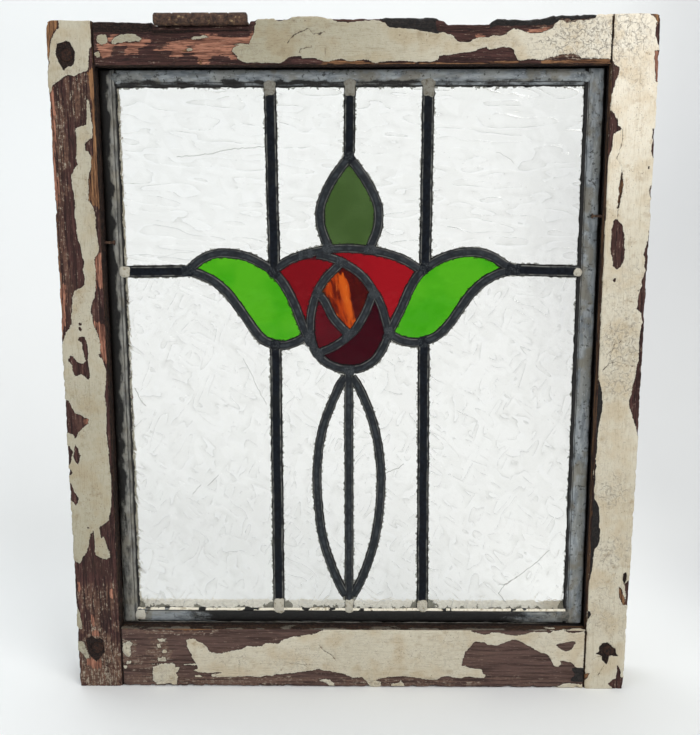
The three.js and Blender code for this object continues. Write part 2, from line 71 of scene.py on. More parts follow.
def noise(x, y, z, seed=0):
    """Smooth value noise in about -1..1 with a lattice of one unit."""
    x, y, z = np.broadcast_arrays(np.asarray(x, float), np.asarray(y, float), np.asarray(z, float))
    fx, fy, fz = np.floor(x), np.floor(y), np.floor(z)
    ix, iy, iz = (f.astype(np.int64) & 0xFFFFFFFF for f in (fx, fy, fz))
    tx, ty, tz = x - fx, y - fy, z - fz
    tx, ty, tz = (t * t * t * (t * (t * 6 - 15) + 10) for t in (tx, ty, tz))
    out = 0
    for dx in (0, 1):
        wx = tx if dx else 1 - tx
        for dy in (0, 1):
            wy = ty if dy else 1 - ty
            for dz in (0, 1):
                wz = tz if dz else 1 - tz
                out = out + _hash((ix + dx) & 0xFFFFFFFF, (iy + dy) & 0xFFFFFFFF, (iz + dz) & 0xFFFFFFFF, seed) * wx * wy * wz
    return out


def fbm(x, y, z, octaves=3, seed=0):
    out, amp, total = 0, 1.0, 0.0
    for k in range(octaves):
        out = out + amp * noise(np.asarray(x) * 2 ** k, np.asarray(y) * 2 ** k, np.asarray(z) * 2 ** k, seed + 17 * k)
        total += amp
        amp *= 0.5
    return out / total


def smooth(a, b, x):
    t = np.clip((np.asarray(x, float) - a) / (b - a), 0, 1)
    return t * t * (3 - 2 * t)


# ---------------------------------------------------------------- meshes
def grid_faces(rows, cols, closed):
    """Quads of a rows x cols grid of vertices; closed joins the last column to the first."""
    r = np.arange(rows - 1)[:, None] * cols
    c = np.arange(cols if closed else cols - 1)[None, :]
    n = (c + 1) % cols
    return np.stack([(r + c).ravel(), (r + n).ravel(), (r + cols + n).ravel(), (r + cols + c).ravel()], 1)


def make_mesh(name, verts_mm, quads, tris=None, attributes=None, colours=None, smooth_shade=True):
    me = bpy.data.meshes.new(name)
    v = to_world(verts_mm)
    quads = np.asarray(quads, np.int32).reshape(-1, 4)
    tris = np.zeros((0, 3), np.int32) if tris is None else np.asarray(tris, np.int32).reshape(-1, 3)
    me.vertices.add(len(v))
    me.vertices.foreach_set("co", v.astype(np.float32).ravel())
    loops = np.concatenate([quads.ravel(), tris.ravel()])
    me.loops.add(len(loops))
    me.loops.foreach_set("vertex_index", loops)
    starts = np.concatenate([np.arange(len(quads)) * 4, len(quads) * 4 + np.arange(len(tris)) * 3])
    me.polygons.add(len(starts))
    me.polygons.foreach_set("loop_start", starts.astype(np.int32))
    me.polygons.foreach_set("use_smooth", np.full(len(starts), smooth_shade))
    for key, value in (attributes or {}).items():
        a = me.attributes.new(key, "FLOAT", "POINT")
        a.data.foreach_set("value", np.asarray(value, np.float32))
    for key, value in (colours or {}).items():
        a = me.attributes.new(key, "FLOAT_COLOR", "POINT")
        a.data.foreach_set("color", np.asarray(value, np.float32).ravel())
    me.update(calc_edges=True)
    me.validate()
    ob = bpy.data.objects.new(name, me)
    bpy.context.scene.collection.objects.link(ob)
    return ob


def place(ob, material, slot, *nodes):
    ob.data.materials.clear()
    ob.data.materials.append(material)
    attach(ob, "root")
    if nodes:
        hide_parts(*nodes)
    return ob


def outward(ob):
    """Turns the faces of a closed piece outwards."""
    import bmesh
    bm = bmesh.new()
    bm.from_mesh(ob.data)
    bmesh.ops.recalc_face_normals(bm, faces=bm.faces)
    bm.to_mesh(ob.data)
    bm.free()
    ob.data.update()


# ---------------------------------------------------------------- node helpers
def srgb(r, g, b):
    f = lambda c: c / 12.92 if c <= 0.04045 else ((c + 0.055) / 1.055) ** 2.4
    return (f(r / 255), f(g / 255), f(b / 255), 1.0)


class Tree:
    """A short way to write a node material."""

    def __init__(self, name):
        self.material = bpy.data.materials.new(name)
        self.material.use_nodes = True
        self.t = self.material.node_tree
        self.t.nodes.clear()
        self.out = self.t.nodes.new("ShaderNodeOutputMaterial")
        self.bsdf = self.t.nodes.new("ShaderNodeBsdfPrincipled")
        self.t.links.new(self.bsdf.outputs[0], self.out.inputs["Surface"])
        self.tex = self.t.nodes.new("ShaderNodeTexCoord")

    def put(self, socket, value):
        if hasattr(value, "is_output"):
            self.t.links.new(value, socket)
        elif isinstance(value, (tuple, list)) and len(value) == 3 and socket.type == "RGBA":
            socket.default_value = (*value, 1)
        else:
            socket.default_value = value

    def math(self, op, a, b=0.0, c=0.0, clamp=False):
        n = self.t.nodes.new("ShaderNodeMath")
        n.operation = op
        n.use_clamp = clamp
        for s, v in zip(n.inputs, (a, b, c)):
            self.put(s, v)
        return n.outputs[0]

    def ramp(self, x, a, b, low=0.0, high=1.0, kind="SMOOTHSTEP"):
        n = self.t.nodes.new("ShaderNodeMapRange")
        n.interpolation_type = kind
        for k, v in (("Value", x), ("From Min", a), ("From Max", b), ("To Min", low), ("To Max", high)):
            self.put(n.inputs[k], v)
        return n.outputs[0]

    def mix(self, fac, a, b, blend="MIX"):
        n = self.t.nodes.new("ShaderNodeMix")
        n.data_type = "RGBA"
        n.blend_type = blend
        self.put(n.inputs[0], fac)
        self.put(n.inputs[6], a)
        self.put(n.inputs[7], b)
        return n.outputs[2]

    def mixf(self, fac, a, b):
        n = self.t.nodes.new("ShaderNodeMix")
        n.data_type = "FLOAT"
        self.put(n.inputs[0], fac)
        self.put(n.inputs[2], a)
        self.put(n.inputs[3], b)
        return n.outputs[0]

    def attr(self, name):
        n = self.t.nodes.new("ShaderNodeAttribute")
        n.attribute_name = name
        return n

    def split(self, colour):
        n = self.t.nodes.new("ShaderNodeSeparateColor")
        self.put(n.inputs[0], colour)
        return n.outputs[0], n.outputs[1], n.outputs[2]

    def coord(self, scale=(1, 1, 1), turn=(0, 0, 0)):
        n = self.t.nodes.new("ShaderNodeMapping")
        self.t.links.new(self.tex.outputs["Object"], n.inputs["Vector"])
        n.inputs["Scale"].default_value = scale
        n.inputs["Rotation"].default_value = turn
        return n.outputs[0]

    def noise(self, vector, scale=1.0, detail=3.0, rough=0.55, distortion=0.0):
        n = self.t.nodes.new("ShaderNodeTexNoise")
        self.t.links.new(vector, n.inputs["Vector"])
        n.inputs["Scale"].default_value = scale
        n.inputs["Detail"].default_value = detail
        n.inputs["Roughness"].default_value = rough
        n.inputs["Distortion"].default_value = distortion
        return n.outputs["Fac"]

    def cells(self, vector, scale=1.0, feature="DISTANCE_TO_EDGE", random=1.0):
        n = self.t.nodes.new("ShaderNodeTexVoronoi")
        n.feature = feature
        self.t.links.new(vector, n.inputs["Vector"])
        n.inputs["Scale"].default_value = scale
        n.inputs["Randomness"].default_value = random
        return n.outputs["Distance"]

    def cell_tone(self, vector, scale=1.0):
        n = self.t.nodes.new("ShaderNodeTexVoronoi")
        self.t.links.new(vector, n.inputs["Vector"])
        n.inputs["Scale"].default_value = scale
        return self.split(n.outputs["Color"])[0]

    def slanted(self, angle, stretch):
        """Millimetre coordinates turned in the plane of the sash, drawn out along the turned upright; the same through the thickness."""
        first = self.t.nodes.new("ShaderNodeMapping")
        self.t.links.new(self.tex.outputs["Object"], first.inputs["Vector"])
        first.inputs["Scale"].default_value = (1000, 0, 1000)
        first.inputs["Rotation"].default_value = (0, angle, 0)
        second = self.t.nodes.new("ShaderNodeMapping")
        self.t.links.new(first.outputs[0], second.inputs["Vector"])
        second.inputs["Scale"].default_value = (1, 1, stretch)
        return second.outputs[0]

    def warp(self, vector, amount, scale):
        n = self.t.nodes.new("ShaderNodeTexNoise")
        self.t.links.new(vector, n.inputs["Vector"])
        n.inputs["Scale"].default_value = scale
        n.inputs["Detail"].default_value = 2
        v = self.t.nodes.new("ShaderNodeVectorMath")
        v.operation = "MULTIPLY_ADD"
        self.t.links.new(n.outputs["Color"], v.inputs[0])
        v.inputs[1].default_value = (amount,) * 3
        self.t.links.new(vector, v.inputs[2])
        return v.outputs[0]

    def bump(self, height, distance, strength=1.0):
        n = self.t.nodes.new("ShaderNodeBump")
        n.inputs["Strength"].default_value = strength
        n.inputs["Distance"].default_value = distance
        self.t.links.new(height, n.inputs["Height"])
        self.t.links.new(n.outputs[0], self.bsdf.inputs["Normal"])
        return n

    def set(self, **values):
        names = {"base": "Base Color", "rough": "Roughness", "metal": "Metallic", "ior": "IOR", "trans": "Transmission Weight",
                 "spec": "Specular IOR Level", "coat": "Coat Weight", "coatr": "Coat Roughness"}
        for k, v in values.items():
            self.put(self.bsdf.inputs[names[k]], v)
        return self.material


# ---------------------------------------------------------------- paint layers on the wood
# Each member keeps patches in the order they lie: C cream, B red-brown primer, P pink undercoat, W bare wood, K pitch, D dark end grain.
LAYERS = "CBPWKD"


def pts(text):
    return np.array([[float(v) for v in q.split(",")] for q in text.split()])


PATCHES = {
    "stile_left": ("B", [
        ("W", "-230,540 -215,540 -219,534 -223,527 -225.5,520 -226.3,512 -226.8,500 -226,480 -226.6,440 -226.8,400 -227,300 -230,298"),
        ("P", "-227,492 -224.6,489 -224.3,470 -224.6,455 -225.2,440 -225,424 -223.6,414 -224.5,404 -227,396"),
        ("P", "-226.8,350 -225.4,341 -222.6,339 -223.4,330 -223.8,318 -225.6,306 -227.5,300"),
        ("C", "-217,541 -193,541 -193,520 -196.6,518 -197.4,505 -199,501 -206,499 -209,497.2 -213,497.8 -216,497 -218,494.6 -221,492.6 -224.4,491 -226.4,485 -229,484 -229,500 -227.4,503 -226,511 -225.4,517 -224,523 -221.6,528 -218.4,532"),
        ("D", "-219.8,520.8 -215.4,521.4 -213.6,523.2 -211,522 -209.4,518.4 -207.8,515 -208,509 -208.8,506 -212,504.4 -214.8,503 -216.4,500.6 -217.8,504.4 -219.6,508 -221,512 -220.8,516.8"),
        ("W", "-198.4,500 -193,504 -193,396 -196.8,400 -200,401.6 -201.6,406 -200.4,413 -202,420 -199.4,428 -197.6,441 -196.8,460 -197,480"),
        ("C", "-200.4,481.4 -198.2,477 -198,468 -197,460 -197.4,453 -200,450.4 -202.6,448 -203.8,444 -201,441.6 -199,437 -199.4,431 -200.6,427 -202.4,421 -201.8,412 -203,405 -200.6,402 -198.6,397 -198.2,388 -197.4,376 -196.4,370 -198,361 -199.2,353 -200,345 -200.4,337 -202,330 -204.6,324.6 -205.2,318 -204.6,311 -203,306.6 -201,302 -199.2,295 -199.6,288 -198.2,282 -196.8,277 -195.6,272 -195.8,262 -197.4,251 -196.8,240 -197,230 -197.6,221 -196.6,208 -196.8,200 -196.2,192 -195.8,180 -195.8,168 -196.8,159 -197.6,153 -199,147 -203,143.6 -206.8,141.4 -207.4,136 -206,131 -204,133.4 -202.4,126 -200.2,120 -199.6,114.6 -203,113 -208,114.8 -211.6,117 -211.4,130 -212,139 -214.6,133 -217,124 -218.4,118.6 -221,114.6 -222.6,110.4 -224.6,109 -227,111.6 -230,112 -230,290 -226.4,297 -224.6,302 -221.6,305 -220.2,309 -219.6,316 -219,326 -218.4,331 -216.6,334.6 -212,337 -209.8,340 -209.2,345 -209.4,350 -208.8,356 -210,363 -211,370 -212.4,375 -213,381 -213,388 -214,392 -213.4,400 -213.6,408 -214.4,416 -215,424 -212.8,428.4 -210,431.6 -211,437 -210,441 -209.6,450 -210,458.6 -206,460 -201.8,461.4 -201,470"),
        ("B", "-203.6,446.8 -201,447 -199.4,444.6 -200,441.8 -203,441.6"),
        ("W", "-202.6,421 -201,420 -199.8,412 -200.8,404 -203,404.6 -202.2,412"),
        ("B", "-200,334.6 -193,334.6 -193,309 -198,308.4 -203,310 -205.2,315.6 -204.4,322 -202.2,328"),
        ("P", "-203.4,310 -193,309.6 -193,277 -196.4,277.4 -198.6,283 -199,294 -200.8,302 -203.2,306.4"),
        ("P", "-200.2,361 -197,365 -194,362 -194,337 -200,337.6 -200,348"),
        ("B", "-200.6,285 -198.2,284.6 -198,281.4 -199.8,281"),
        ("B", "-215,309.6 -213.2,309.8 -212.6,308.2 -214,307.2 -215.2,308"),
        ("B", "-215.2,306 -213.4,306.4 -212.8,303.8 -214.2,303 -215.4,304.4"),
        ("B", "-215.8,298.4 -213.4,299 -211,298.4 -209.6,295 -209.4,288 -209.6,276 -209,266 -210.4,263.8 -213,266.2 -215,268.4 -218.8,266.4 -220.2,268.2 -222,276 -224,279.4 -222.2,284 -220.4,283 -218,278.4 -213.6,276.6 -211.6,279 -213,287 -213.4,293 -215.6,295.6"),
        ("B", "-230,247 -225.2,247 -223.4,242 -221,237 -216.4,235 -213.6,232 -212,229 -214,226 -217,223.4 -219.6,220.6 -221,217 -222.2,215.6 -223.2,219 -226,220.4 -230,220.4"),
        ("P", "-213.6,233.4 -211.2,232 -211.8,228 -214,226.6 -215.4,230"),
        ("B", "-222,211 -219.8,207.6 -218.4,202 -219.4,197 -221,194 -222.6,197 -223.6,202 -223.2,207"),
        ("B", "-230,211 -226.2,209 -224.4,204 -225.2,198 -227,194 -230,193"),
        ("B", "-230,189.4 -227.4,190 -225.4,187 -227,184.6 -230,184.4"),
        ("B", "-230,179.6 -227,178 -224.2,171 -221.6,166 -222.4,161.6 -224.8,158.8 -226.4,163 -230,165"),
        ("B", "-216.8,140.8 -215,140.8 -215,139.4 -216.6,139.4"),
        ("C", "-230,67 -227,69.4 -225.6,66 -224.8,61 -224.2,56 -224.8,51.2 -230,51.6"),
        ("C", "-230,40.6 -223.4,40.6 -222.2,35 -220.4,30 -220,25.4 -222.6,24.6 -224.4,29 -226,31 -230,32"),
        ("P", "-222,25 -219.2,26 -216,22.6 -212.4,24.8 -211,22 -211.6,17.4 -214,14.6 -218.6,17 -221.6,20"),
        ("P", "-217.6,49.6 -213.4,50 -210,47 -210.4,44.4 -214,45.6 -217,46"),
        ("P", "-201.6,86 -200,86 -199.8,79.4 -201.6,79.8"),
        ("P", "-217,64 -215.4,64 -215.4,54.6 -216.8,54.8"),
        ("P", "-225.6,92 -224.4,92 -224.2,85 -225.6,85.2"),
        ("D", "-221.8,41 -221.4,43.4 -219,44.6 -217.4,46.4 -216,43.6 -213.4,43 -211,43.8 -209,41 -208.6,35 -208.2,31 -210.4,28 -211.8,25.6 -214.6,22.2 -217,24.4 -219,26.2 -220.6,29.4 -221.2,34"),
    ]),
    "stile_right": ("C", [
        ("B", "190,505.6 194.6,504.4 197,502 200.2,500.6 199.8,497 197.6,490.6 195.6,483.6 194.2,481 190,481"),
        ("B", "190,471.6 194.8,470.8 197.2,469 200,465 201.2,460.4 203.8,457 201,455.4 198,453.2 197.2,444 196,438 193.4,436.6 190,437"),
        ("W", "204.6,429 206.2,422.6 206.8,412 205.8,404 204.2,397.6 203,397.6 203.8,406 203.4,413 205,420"),
        ("B", "203.2,390 207,386.2 209,380.4 210,372 210.6,366 210,358 208,353 205,351.4 202.4,354 201,360 199.4,367 199.8,376 199.8,384 201.2,388.4"),
        ("B", "203.4,344.4 204.8,344 204.6,341.4 203.2,341.2 202.4,343"),
        ("W", "212,541 219,538.4 223.4,535.4 226.6,530 228,520 228,513 231,513 231,541"),
        ("B", "224.4,531.6 226.8,530.6 227.6,524 228.6,516 226.6,516.6 224.6,521"),
        ("P", "224.6,512.4 231,512 231,490.6 226.2,490.6 225.4,500"),
        ("B", "226.4,457.4 231,457 231,436 227,435.6 226.2,441.6 227,449"),
        ("B", "224.4,429.4 225.8,429 225.4,427.4 224.4,427.4"),
        ("W", "227,416 231,416 231,406 227.6,406.4 226.2,410.6"),
        ("B", "231,382 227.8,381.6 227.4,374 226,369 224.4,363 226,360 225.4,354 227,350 226,346 223.2,342.4 225,339 223.2,336 222.2,328 221.8,320 225.4,317 226.4,310 225.4,305 225,297 225,280 224,272 223,264 221.2,255 220,247 220.2,241.6 222.4,235.4 224.8,230 226.2,224 227.6,218 231,214"),
        ("B", "221.4,335 222.8,335.6 222.6,333.6"),
        ("K", "190,262 193.6,262 195,264.2 197,258 198.2,252 198.6,246 198,238 197,228 195.8,220 196.2,205 195,200 196.6,193 195.4,188 196.2,180 195,172 196,166 198.6,162 200,158 200.6,150 200.4,142 201.6,139.6 201.6,130 200,125.8 198,124 197.4,115 196.6,105 195.4,98 193,94.6 190,95"),
        ("K", "190,69 196.8,69.2 197.6,66 195.4,63 190,63"),
        ("W", "220,90.6 222.2,88.6 224.8,80.6 226,74.4 223.8,75 221,80 219.8,86"),
        ("D", "222.4,102.2 225,103.4 225.8,97 224,93 222.2,97"),
        ("B", "224.2,93 227,96 231,94 231,72.6 225.6,75.6 226,84"),
        ("W", "190,14 195,13.6 198.6,13.6 197.2,10.4 195.4,8 190,7.6"),
        ("B", "222,21.6 224.4,17.6 226,10 231,10 231,-2 221,-2 216.2,2.6 215.2,5.2 219,8.2 221.4,9.4 221.8,15"),
        ("D", "205.8,37.6 208,40.6 212.8,41.4 216,38.6 216.6,36 219.6,36.4 220.2,33 222.4,29.4 217,30 214.2,29 213.4,25 212,21.8 210.2,24 208.4,26 207.8,29.8 205,30.8 202.2,31.2 205.4,32.6"),
    ]),
    "rail_top": ("B", [
        ("D", "-197,541 -149,541 -149,529.8 -160,529.4 -175,528.8 -197,529.6"),
        ("D", "-149,533.4 -76,533.6 -76,531.8 -100,532.2 -118,531.6 -136,530.8 -149,530.6"),
        ("P", "-190,520.6 -183,521.6 -178,519 -180.4,516 -180.8,512 -186,510.8 -189.4,514"),
        ("P", "-182,523.6 -179.4,528 -174,528.2 -177.6,524"),
        ("P", "-173,522 -163,521.6 -158,524.6 -150,524.2 -149.6,521.2 -158,520 -155,518 -159.6,517 -160.4,513.6 -165,514 -170,512.6 -168.8,516.6 -167.6,519 -175,519.4"),
        ("P", "-148,517 -138,518.6 -140,516.4 -147,516"),
        ("P", "-141,519 -137,520 -134,521 -139,523 -132,524.4 -124,525.6 -119,527.2 -112,528.6 -104,529 -96,528.4 -88,527.6 -80,526.4 -74,529 -70.6,528 -70.6,521 -80,520.8 -88,519 -90,517 -89,513 -85,510 -90,509 -92,512 -98,513.6 -103,512.4 -107,509 -107.4,505.4 -114.6,505.2 -115.2,511 -118,513.6 -123,514.4 -129,512 -136,512.4 -134,515 -137,517"),
        ("B", "-124,520.4 -117,521.4 -112,522 -114.6,520.2 -122,519"),
        ("W", "-128,516.6 -122,518.6 -121.4,516 -126,515"),
        ("W", "-114.6,509 -112,508.4 -112.4,504.8 -114.8,504.6"),
        ("C", "-191,524 -189,527 -184.2,527.6 -182.4,525 -183,521.6 -187,520 -190,521.6"),
        ("C", "-180,520.4 -179,523.6 -175.6,526 -172,527.6 -167,528.6 -161,527.6 -157,524.8 -158.4,523 -163,522.2 -170,522.2 -175,521.6"),
        ("C", "-193,513.2 -191,515.6 -188.4,513.6 -188.4,511 -191,510.8"),
        ("C", "-121.4,526 -117,528.4 -109,528.8 -107.6,527.4 -114,526 -119,525.6"),
        ("C", "-124,517.8 -121,519 -118.4,517.8 -119.4,516 -122,516"),
        ("C", "-89.6,516 -87,519.4 -82,520.6 -88,521.4 -84,522.4 -76,521.8 -73.4,525 -72.6,530 -71.6,534 -70.4,541 -56,541 -56,538.4 -53,536.4 -45,536.6 -41,541 -20,541 -14.8,537.6 -14,535.8 -8,535 0,534.6 8,535 15,537.2 18,536.4 24,534 27,531 29,530.2 38,530 42,530 50,528.6 58,527.2 64,526.6 68,528.2 73,529 76,527.4 78,524 80,522.8 88,523 91,524.6 94,526 100,526.4 106,526 109,524.6 112,525 115,526.6 118,529.6 120,531 124,530.4 128,528.6 132,527.6 138,526.6 145,527.6 150,529.6 152,532 154,534.6 157,534 159,532.6 163,533 165,532.4 168,534 172,533.6 178,534.6 180.6,536 183,541 197,541 197,507 190,508 180,508.4 174,507.4 171,508.2 170.6,509.6 168,510.6 163,511.6 159,511 153,510 147,508.6 143,506.6 138,507.6 132,508 126,507 123,507.6 122,511 121,514.6 119,516.6 113,517 108,515.6 104,516 100,518.6 97,517.4 93,515.6 88,514.6 84,514 78,512.6 74,512 69,511 65.6,510.4 63,507.4 60,506 47,506.2 42,507 36,506.6 30,507 26,506.6 24,505.4 16,505.8 13,507 9,508 5,507.6 3,507.4 -3,507 -8,508.6 -12,508 -16,506.4 -20,506 -23,507.6 -27,509 -32,509.2 -37,509 -38,510.6 -44,510.6 -49,509.4 -52,506.6 -54,505.6 -79,506.4 -83,508 -86,511 -88,514"),
        ("W", "-22,506 -16,506.4 -12,507.6 -3,507 4,507.2 10,506.6 16,505.4 30,506.2 47,505.8 60,505.6 125,506.6 125,503 -22,503"),
        ("W", "142,507 150,506 160,506.8 171,507.6 180,508.2 190,508 197,507 197,503 142,503"),
        ("K", "19,541 20.6,536.6 26,532.8 28,530.6 36,530 46,529.6 54,528 60,527 64,526.4 68,528 71,530.6 73.4,532.6 74,541"),
        ("B", "62,535.4 69,541 75,541 73.6,533 68.6,528 64,528.6"),
        ("P", "92,528 94,526 99.4,526.6 99.4,528.2 96,528.6"),
        ("B", "106,531.4 117.6,531.8 124,531.4 130,532.4 141,532.6 149,531.4 148,528.4 140,527.6 130,528 124,530.2 118.6,530.6"),
        ("P", "131,528.8 138,527.6 147,528.4 147.4,530 140,529.4"),
        ("K", "102,541 103.6,533.4 110,532.2 120,532.8 130,532.6 141,532.8 146,531 150,531 152.4,533 156,535.4 159,533.6 163,534 168,534.6 174,534.6 180,535.6 183,541"),
        ("B", "157,534.6 160,533 164,533.4 161,535.4"),
    ]),
    "rail_bottom": ("B", [
        ("W", "-197,57 -197,52.6 -190,51.4 -175,52.6 -160,51.2 -135,50.6 -124,50.2 -118,51 -112,52.6 -108,57"),
        ("C", "-139,41 -137,42.6 -132,42.6 -129,40.6 -126,39.4 -123,36 -120,32 -116,30 -111,29.6 -107,31 -103,32 -98,33.6 -92,34.4 -88,37 -82,36.4 -76,37 -73,39 -70,39.6 -66,39 -61,39.2 -60,41.6 -57,43 -50,45.4 -42,46.6 -34,47.6 -29,49 -26,51.4 -22,52.8 -18,57 98,57 99,51.6 101,50.6 104,49.6 109,48 113,48.6 116,50.4 122,50 127,48.6 132,47.4 140,48 148,50 155,50.4 160,50.4 164,49.4 167,51.6 176,52 180,50.4 186,50 193,51.2 197,51 197,18 190,18.6 186,19.6 184,22 181,23.4 178,23.4 175,22 172.6,20 171,19 168.6,21 166,26 164,29.4 162,31 158,32.2 154,34.6 150,36.6 146,38.6 143,41 139,42 136,44 133,43.6 131,42.4 128.6,42 126,40.4 121,38.6 117,39 113,38.8 110,41.4 103,41.6 100,40 98,36 95,33 93,29 91.8,24 91.2,20.4 95,20 99,18.4 104,17 109,17 109.4,13.6 112,11 110,9 104,9.2 98,10.2 92,8.6 85,9.6 79,10.6 75,10 72,8 70,7 60,7.6 55,8.4 50,9.6 40,10 30,9.6 22,8 20.2,6.6 24,5 24.8,1.6 20,-3 15,-1 13,4.6 9.4,8 8,9.6 0,8.6 -4,10.6 -8,12 -15,13.6 -22,15 -28,16.6 -34,15.2 -42,14 -50,12.6 -58,12 -64,11.6 -68,9.4 -72,10.4 -78,8.2 -85,9.6 -95,9.2 -105,8.6 -115,8.6 -120,9.6 -119,10.8 -112,11.4 -110,12.4 -113,13 -122,12.4 -130,12.6 -134,14 -130,16 -131,20 -134,26 -137,32 -138.6,37"),
        ("C", "-168.6,18 -164,19.4 -160,20.6 -150,20.4 -150,18.2 -145,17.6 -146,15 -149,12 -147,9 -148,5 -149,1.6 -155,2.4 -165,1.4 -168,5 -168.6,9 -168.2,13"),
        ("C", "-164,42.6 -160.6,43.4 -156,42.6 -157,40.6 -162,40.6"),
        ("C", "-164,38.6 -161.6,39.2 -161,35 -163.4,34.8"),
        ("C", "-159.4,33.6 -155.4,32.4 -157,30 -160.4,30.4"),
        ("C", "-163,25.6 -158,26.6 -156.4,23 -163,22.6"),
        ("C", "-170,20.6 -150,21.2 -150,20.2 -170,19.8"),
        ("C", "-142,20.4 -131.6,20.8 -131.6,19.4 -142,19.4"),
        ("C", "-133,9.8 -128,10 -127,9.2 -128,8.4 -133,8.6"),
        ("C", "-29,6.2 -24,7.2 -19,6.4 -16,3.2 -15,1 -20,1.2 -22.4,4 -26,5.4"),
        ("C", "32,1.4 33,3 39,4.4 41,6.4 43,3.4 44,1 38,0.6"),
        ("C", "172,1.4 176,4 180,4.6 187,4.6 193,3.4 197,3.4 197,-3 172,-3"),
        ("C", "-189,40.6 -186,41.6 -184.6,38 -186,35 -186,29 -188,26 -191,28 -193.6,33 -193,38"),
        ("C", "-190,22.6 -186,23.4 -186.4,20.6 -189.6,20"),
        ("C", "-193,18.6 -190,19 -190.4,16.4 -192.6,15.8"),
        ("B", "168.8,39 172,40.6 180,41.6 185.6,42.6 186,40.4 184,37 181,34 178,33.4 174,35 171,37.4"),
        ("B", "173,25 178,24.4 183,23.6 185.6,21 184,19 179,20 175.6,22"),
        ("K", "184,18.6 190,19 197,19 197,6 190,6 183,6.6 186,12"),
    ]),
}

# Hairline breaks in the paint: [member, width, depth, points]
BREAKS = [
    ("stile_right", 0.5, "204.2,457 205.2,450 203.4,442 201.4,435 204.4,431 206.2,425 205,418 206.6,410 204.4,402 203.4,390"),
    ("stile_right", 0.35, "211,519.6 215,519.8 217,517 217.4,511 222,509.6"),
    ("stile_right", 0.3, "205,537 206,531 204.6,527"),
    ("stile_right", 0.35, "200,25.8 205,28.6 208.4,30.4"),
    ("stile_right", 0.35, "210.4,21 208,17 205.4,12.4"),
    ("stile_right", 0.35, "201,284 204,287 207,292.4 211,295 215,293.6 219,286 222.6,279"),
    ("stile_right", 0.45, "198,272 202,276.6 208,279 213,277.6 218,275 222,276"),
    ("rail_top", 0.6, "-48,520 -44,524 -40,526 -36,528 -32,529 -30,527 -28,525 -24,525.6 -20,527.6"),
    ("rail_top", 0.5, "-39,512.6 -37.6,515.4 -33,515.8 -30,517"),
    ("rail_top", 0.4, "-19.8,512 -19.6,516"),
    ("rail_bottom", 0.3, "-66,12 -60,14 -57,22 -40,20 -38,17.6"),
    ("rail_bottom", 0.35, "-28,38 -24,33 -18,29.6 -14,24"),
    ("rail_bottom", 0.4, "-96,12 -95,18 -94.6,24"),
    ("rail_bottom", 0.3, "48,50 48,46"),
    ("stile_left", 0.3, "-222,517 -219,516.4 -213,517"),
]

# Crazed and stained areas: x, z, half width, half height, strength
CRAZED = {
    "stile_left": [(-213, 300, 9, 60, 0.12), (-210, 190, 12, 50, 0.08), (-212, 22, 20, 40, 0.95), (-212, 76, 20, 16, 0.55), (-206, 482, 12, 20, 0.55),
                   (-222, 450, 6, 44, 0.6), (-225, 380, 5, 60, 0.5), (-222, 330, 8, 24, 0.4), (-200, 420, 6, 60, 0.35), (-204, 320, 7, 30, 0.3), (-218, 250, 12, 40, 0.3)],
    "stile_right": [(206, 524, 15, 18, 0.8), (210, 498, 18, 14, 0.35), (212, 290, 18, 24, 0.75), (210, 258, 12, 12, 0.6), (212, 172, 16, 12, 0.6),
                    (212, 120, 16, 16, 0.6), (206, 66, 14, 20, 0.5), (212, 330, 16, 26, 0.35), (214, 90, 14, 16, 0.35), (224, 60, 5, 30, 0.4), (206, 200, 14, 30, 0.18)],
    "rail_top": [(172, 522, 34, 22, 0.95), (112, 522, 18, 10, 0.3), (-30, 521, 26, 9, 0.16), (140, 517, 14, 10, 0.4), (-170, 520, 24, 8, 0.35), (-110, 520, 40, 9, 0.4), (-176, 533, 26, 4, 0.3)],
    "rail_bottom": [(-188, 32, 9, 16, 1.0), (-160, 34, 9, 14, 1.0), (-176, 20, 22, 14, 0.55), (-174, 6, 26, 8, 0.6), (-90, 5, 70, 5, 0.75), (40, 4, 80, 5, 0.7),
                    (140, 6, 50, 7, 0.4), (-140, 50, 60, 4, 0.6), (110, 30, 20, 10, 0.3), (-108, 28, 24, 10, 0.4), (20, 30, 60, 22, 0.25), (-40, 26, 34, 16, 0.35), (80, 30, 30, 20, 0.3), (170, 46, 30, 9, 0.3), (-158, 12, 14, 10, 0.35)],
}


def polygon_distance(px, pz, poly):
    """Signed distance in mm to a closed outline, positive inside, for the points near it."""
    out = np.full(px.shape, -12.0)
    lo, hi = poly.min(0) - 9, poly.max(0) + 9
    near = (px > lo[0]) & (px < hi[0]) & (pz > lo[1]) & (pz < hi[1])
    x, z = px[near], pz[near]
    if not len(x):
        return out
    best = np.full(x.shape, 1e9)
    inside = np.zeros(x.shape, bool)
    for (ax, az), (bx, bz) in zip(poly, np.roll(poly, -1, 0)):
        dx, dz = bx - ax, bz - az
        t = np.clip(((x - ax) * dx + (z - az) * dz) / max(dx * dx + dz * dz, 1e-9), 0, 1)
        best = np.minimum(best, (x - ax - t * dx) ** 2 + (z - az - t * dz) ** 2)
        if az != bz:
            inside ^= ((az > z) != (bz > z)) & (x < (bx - ax) * (z - az) / (bz - az) + ax)
    out[near] = np.where(inside, 1, -1) * np.sqrt(best)
    return out


def line_distance(px, pz, line):
    best = np.full(px.shape, 1e9)
    for (ax, az), (bx, bz) in zip(line[:-1], line[1:]):
        dx, dz = bx - ax, bz - az
        t = np.clip(((px - ax) * dx + (pz - az) * dz) / max(dx * dx + dz * dz, 1e-9), 0, 1)
        best = np.minimum(best, (px - ax - t * dx) ** 2 + (pz - az - t * dz) ** 2)
    return np.sqrt(best)


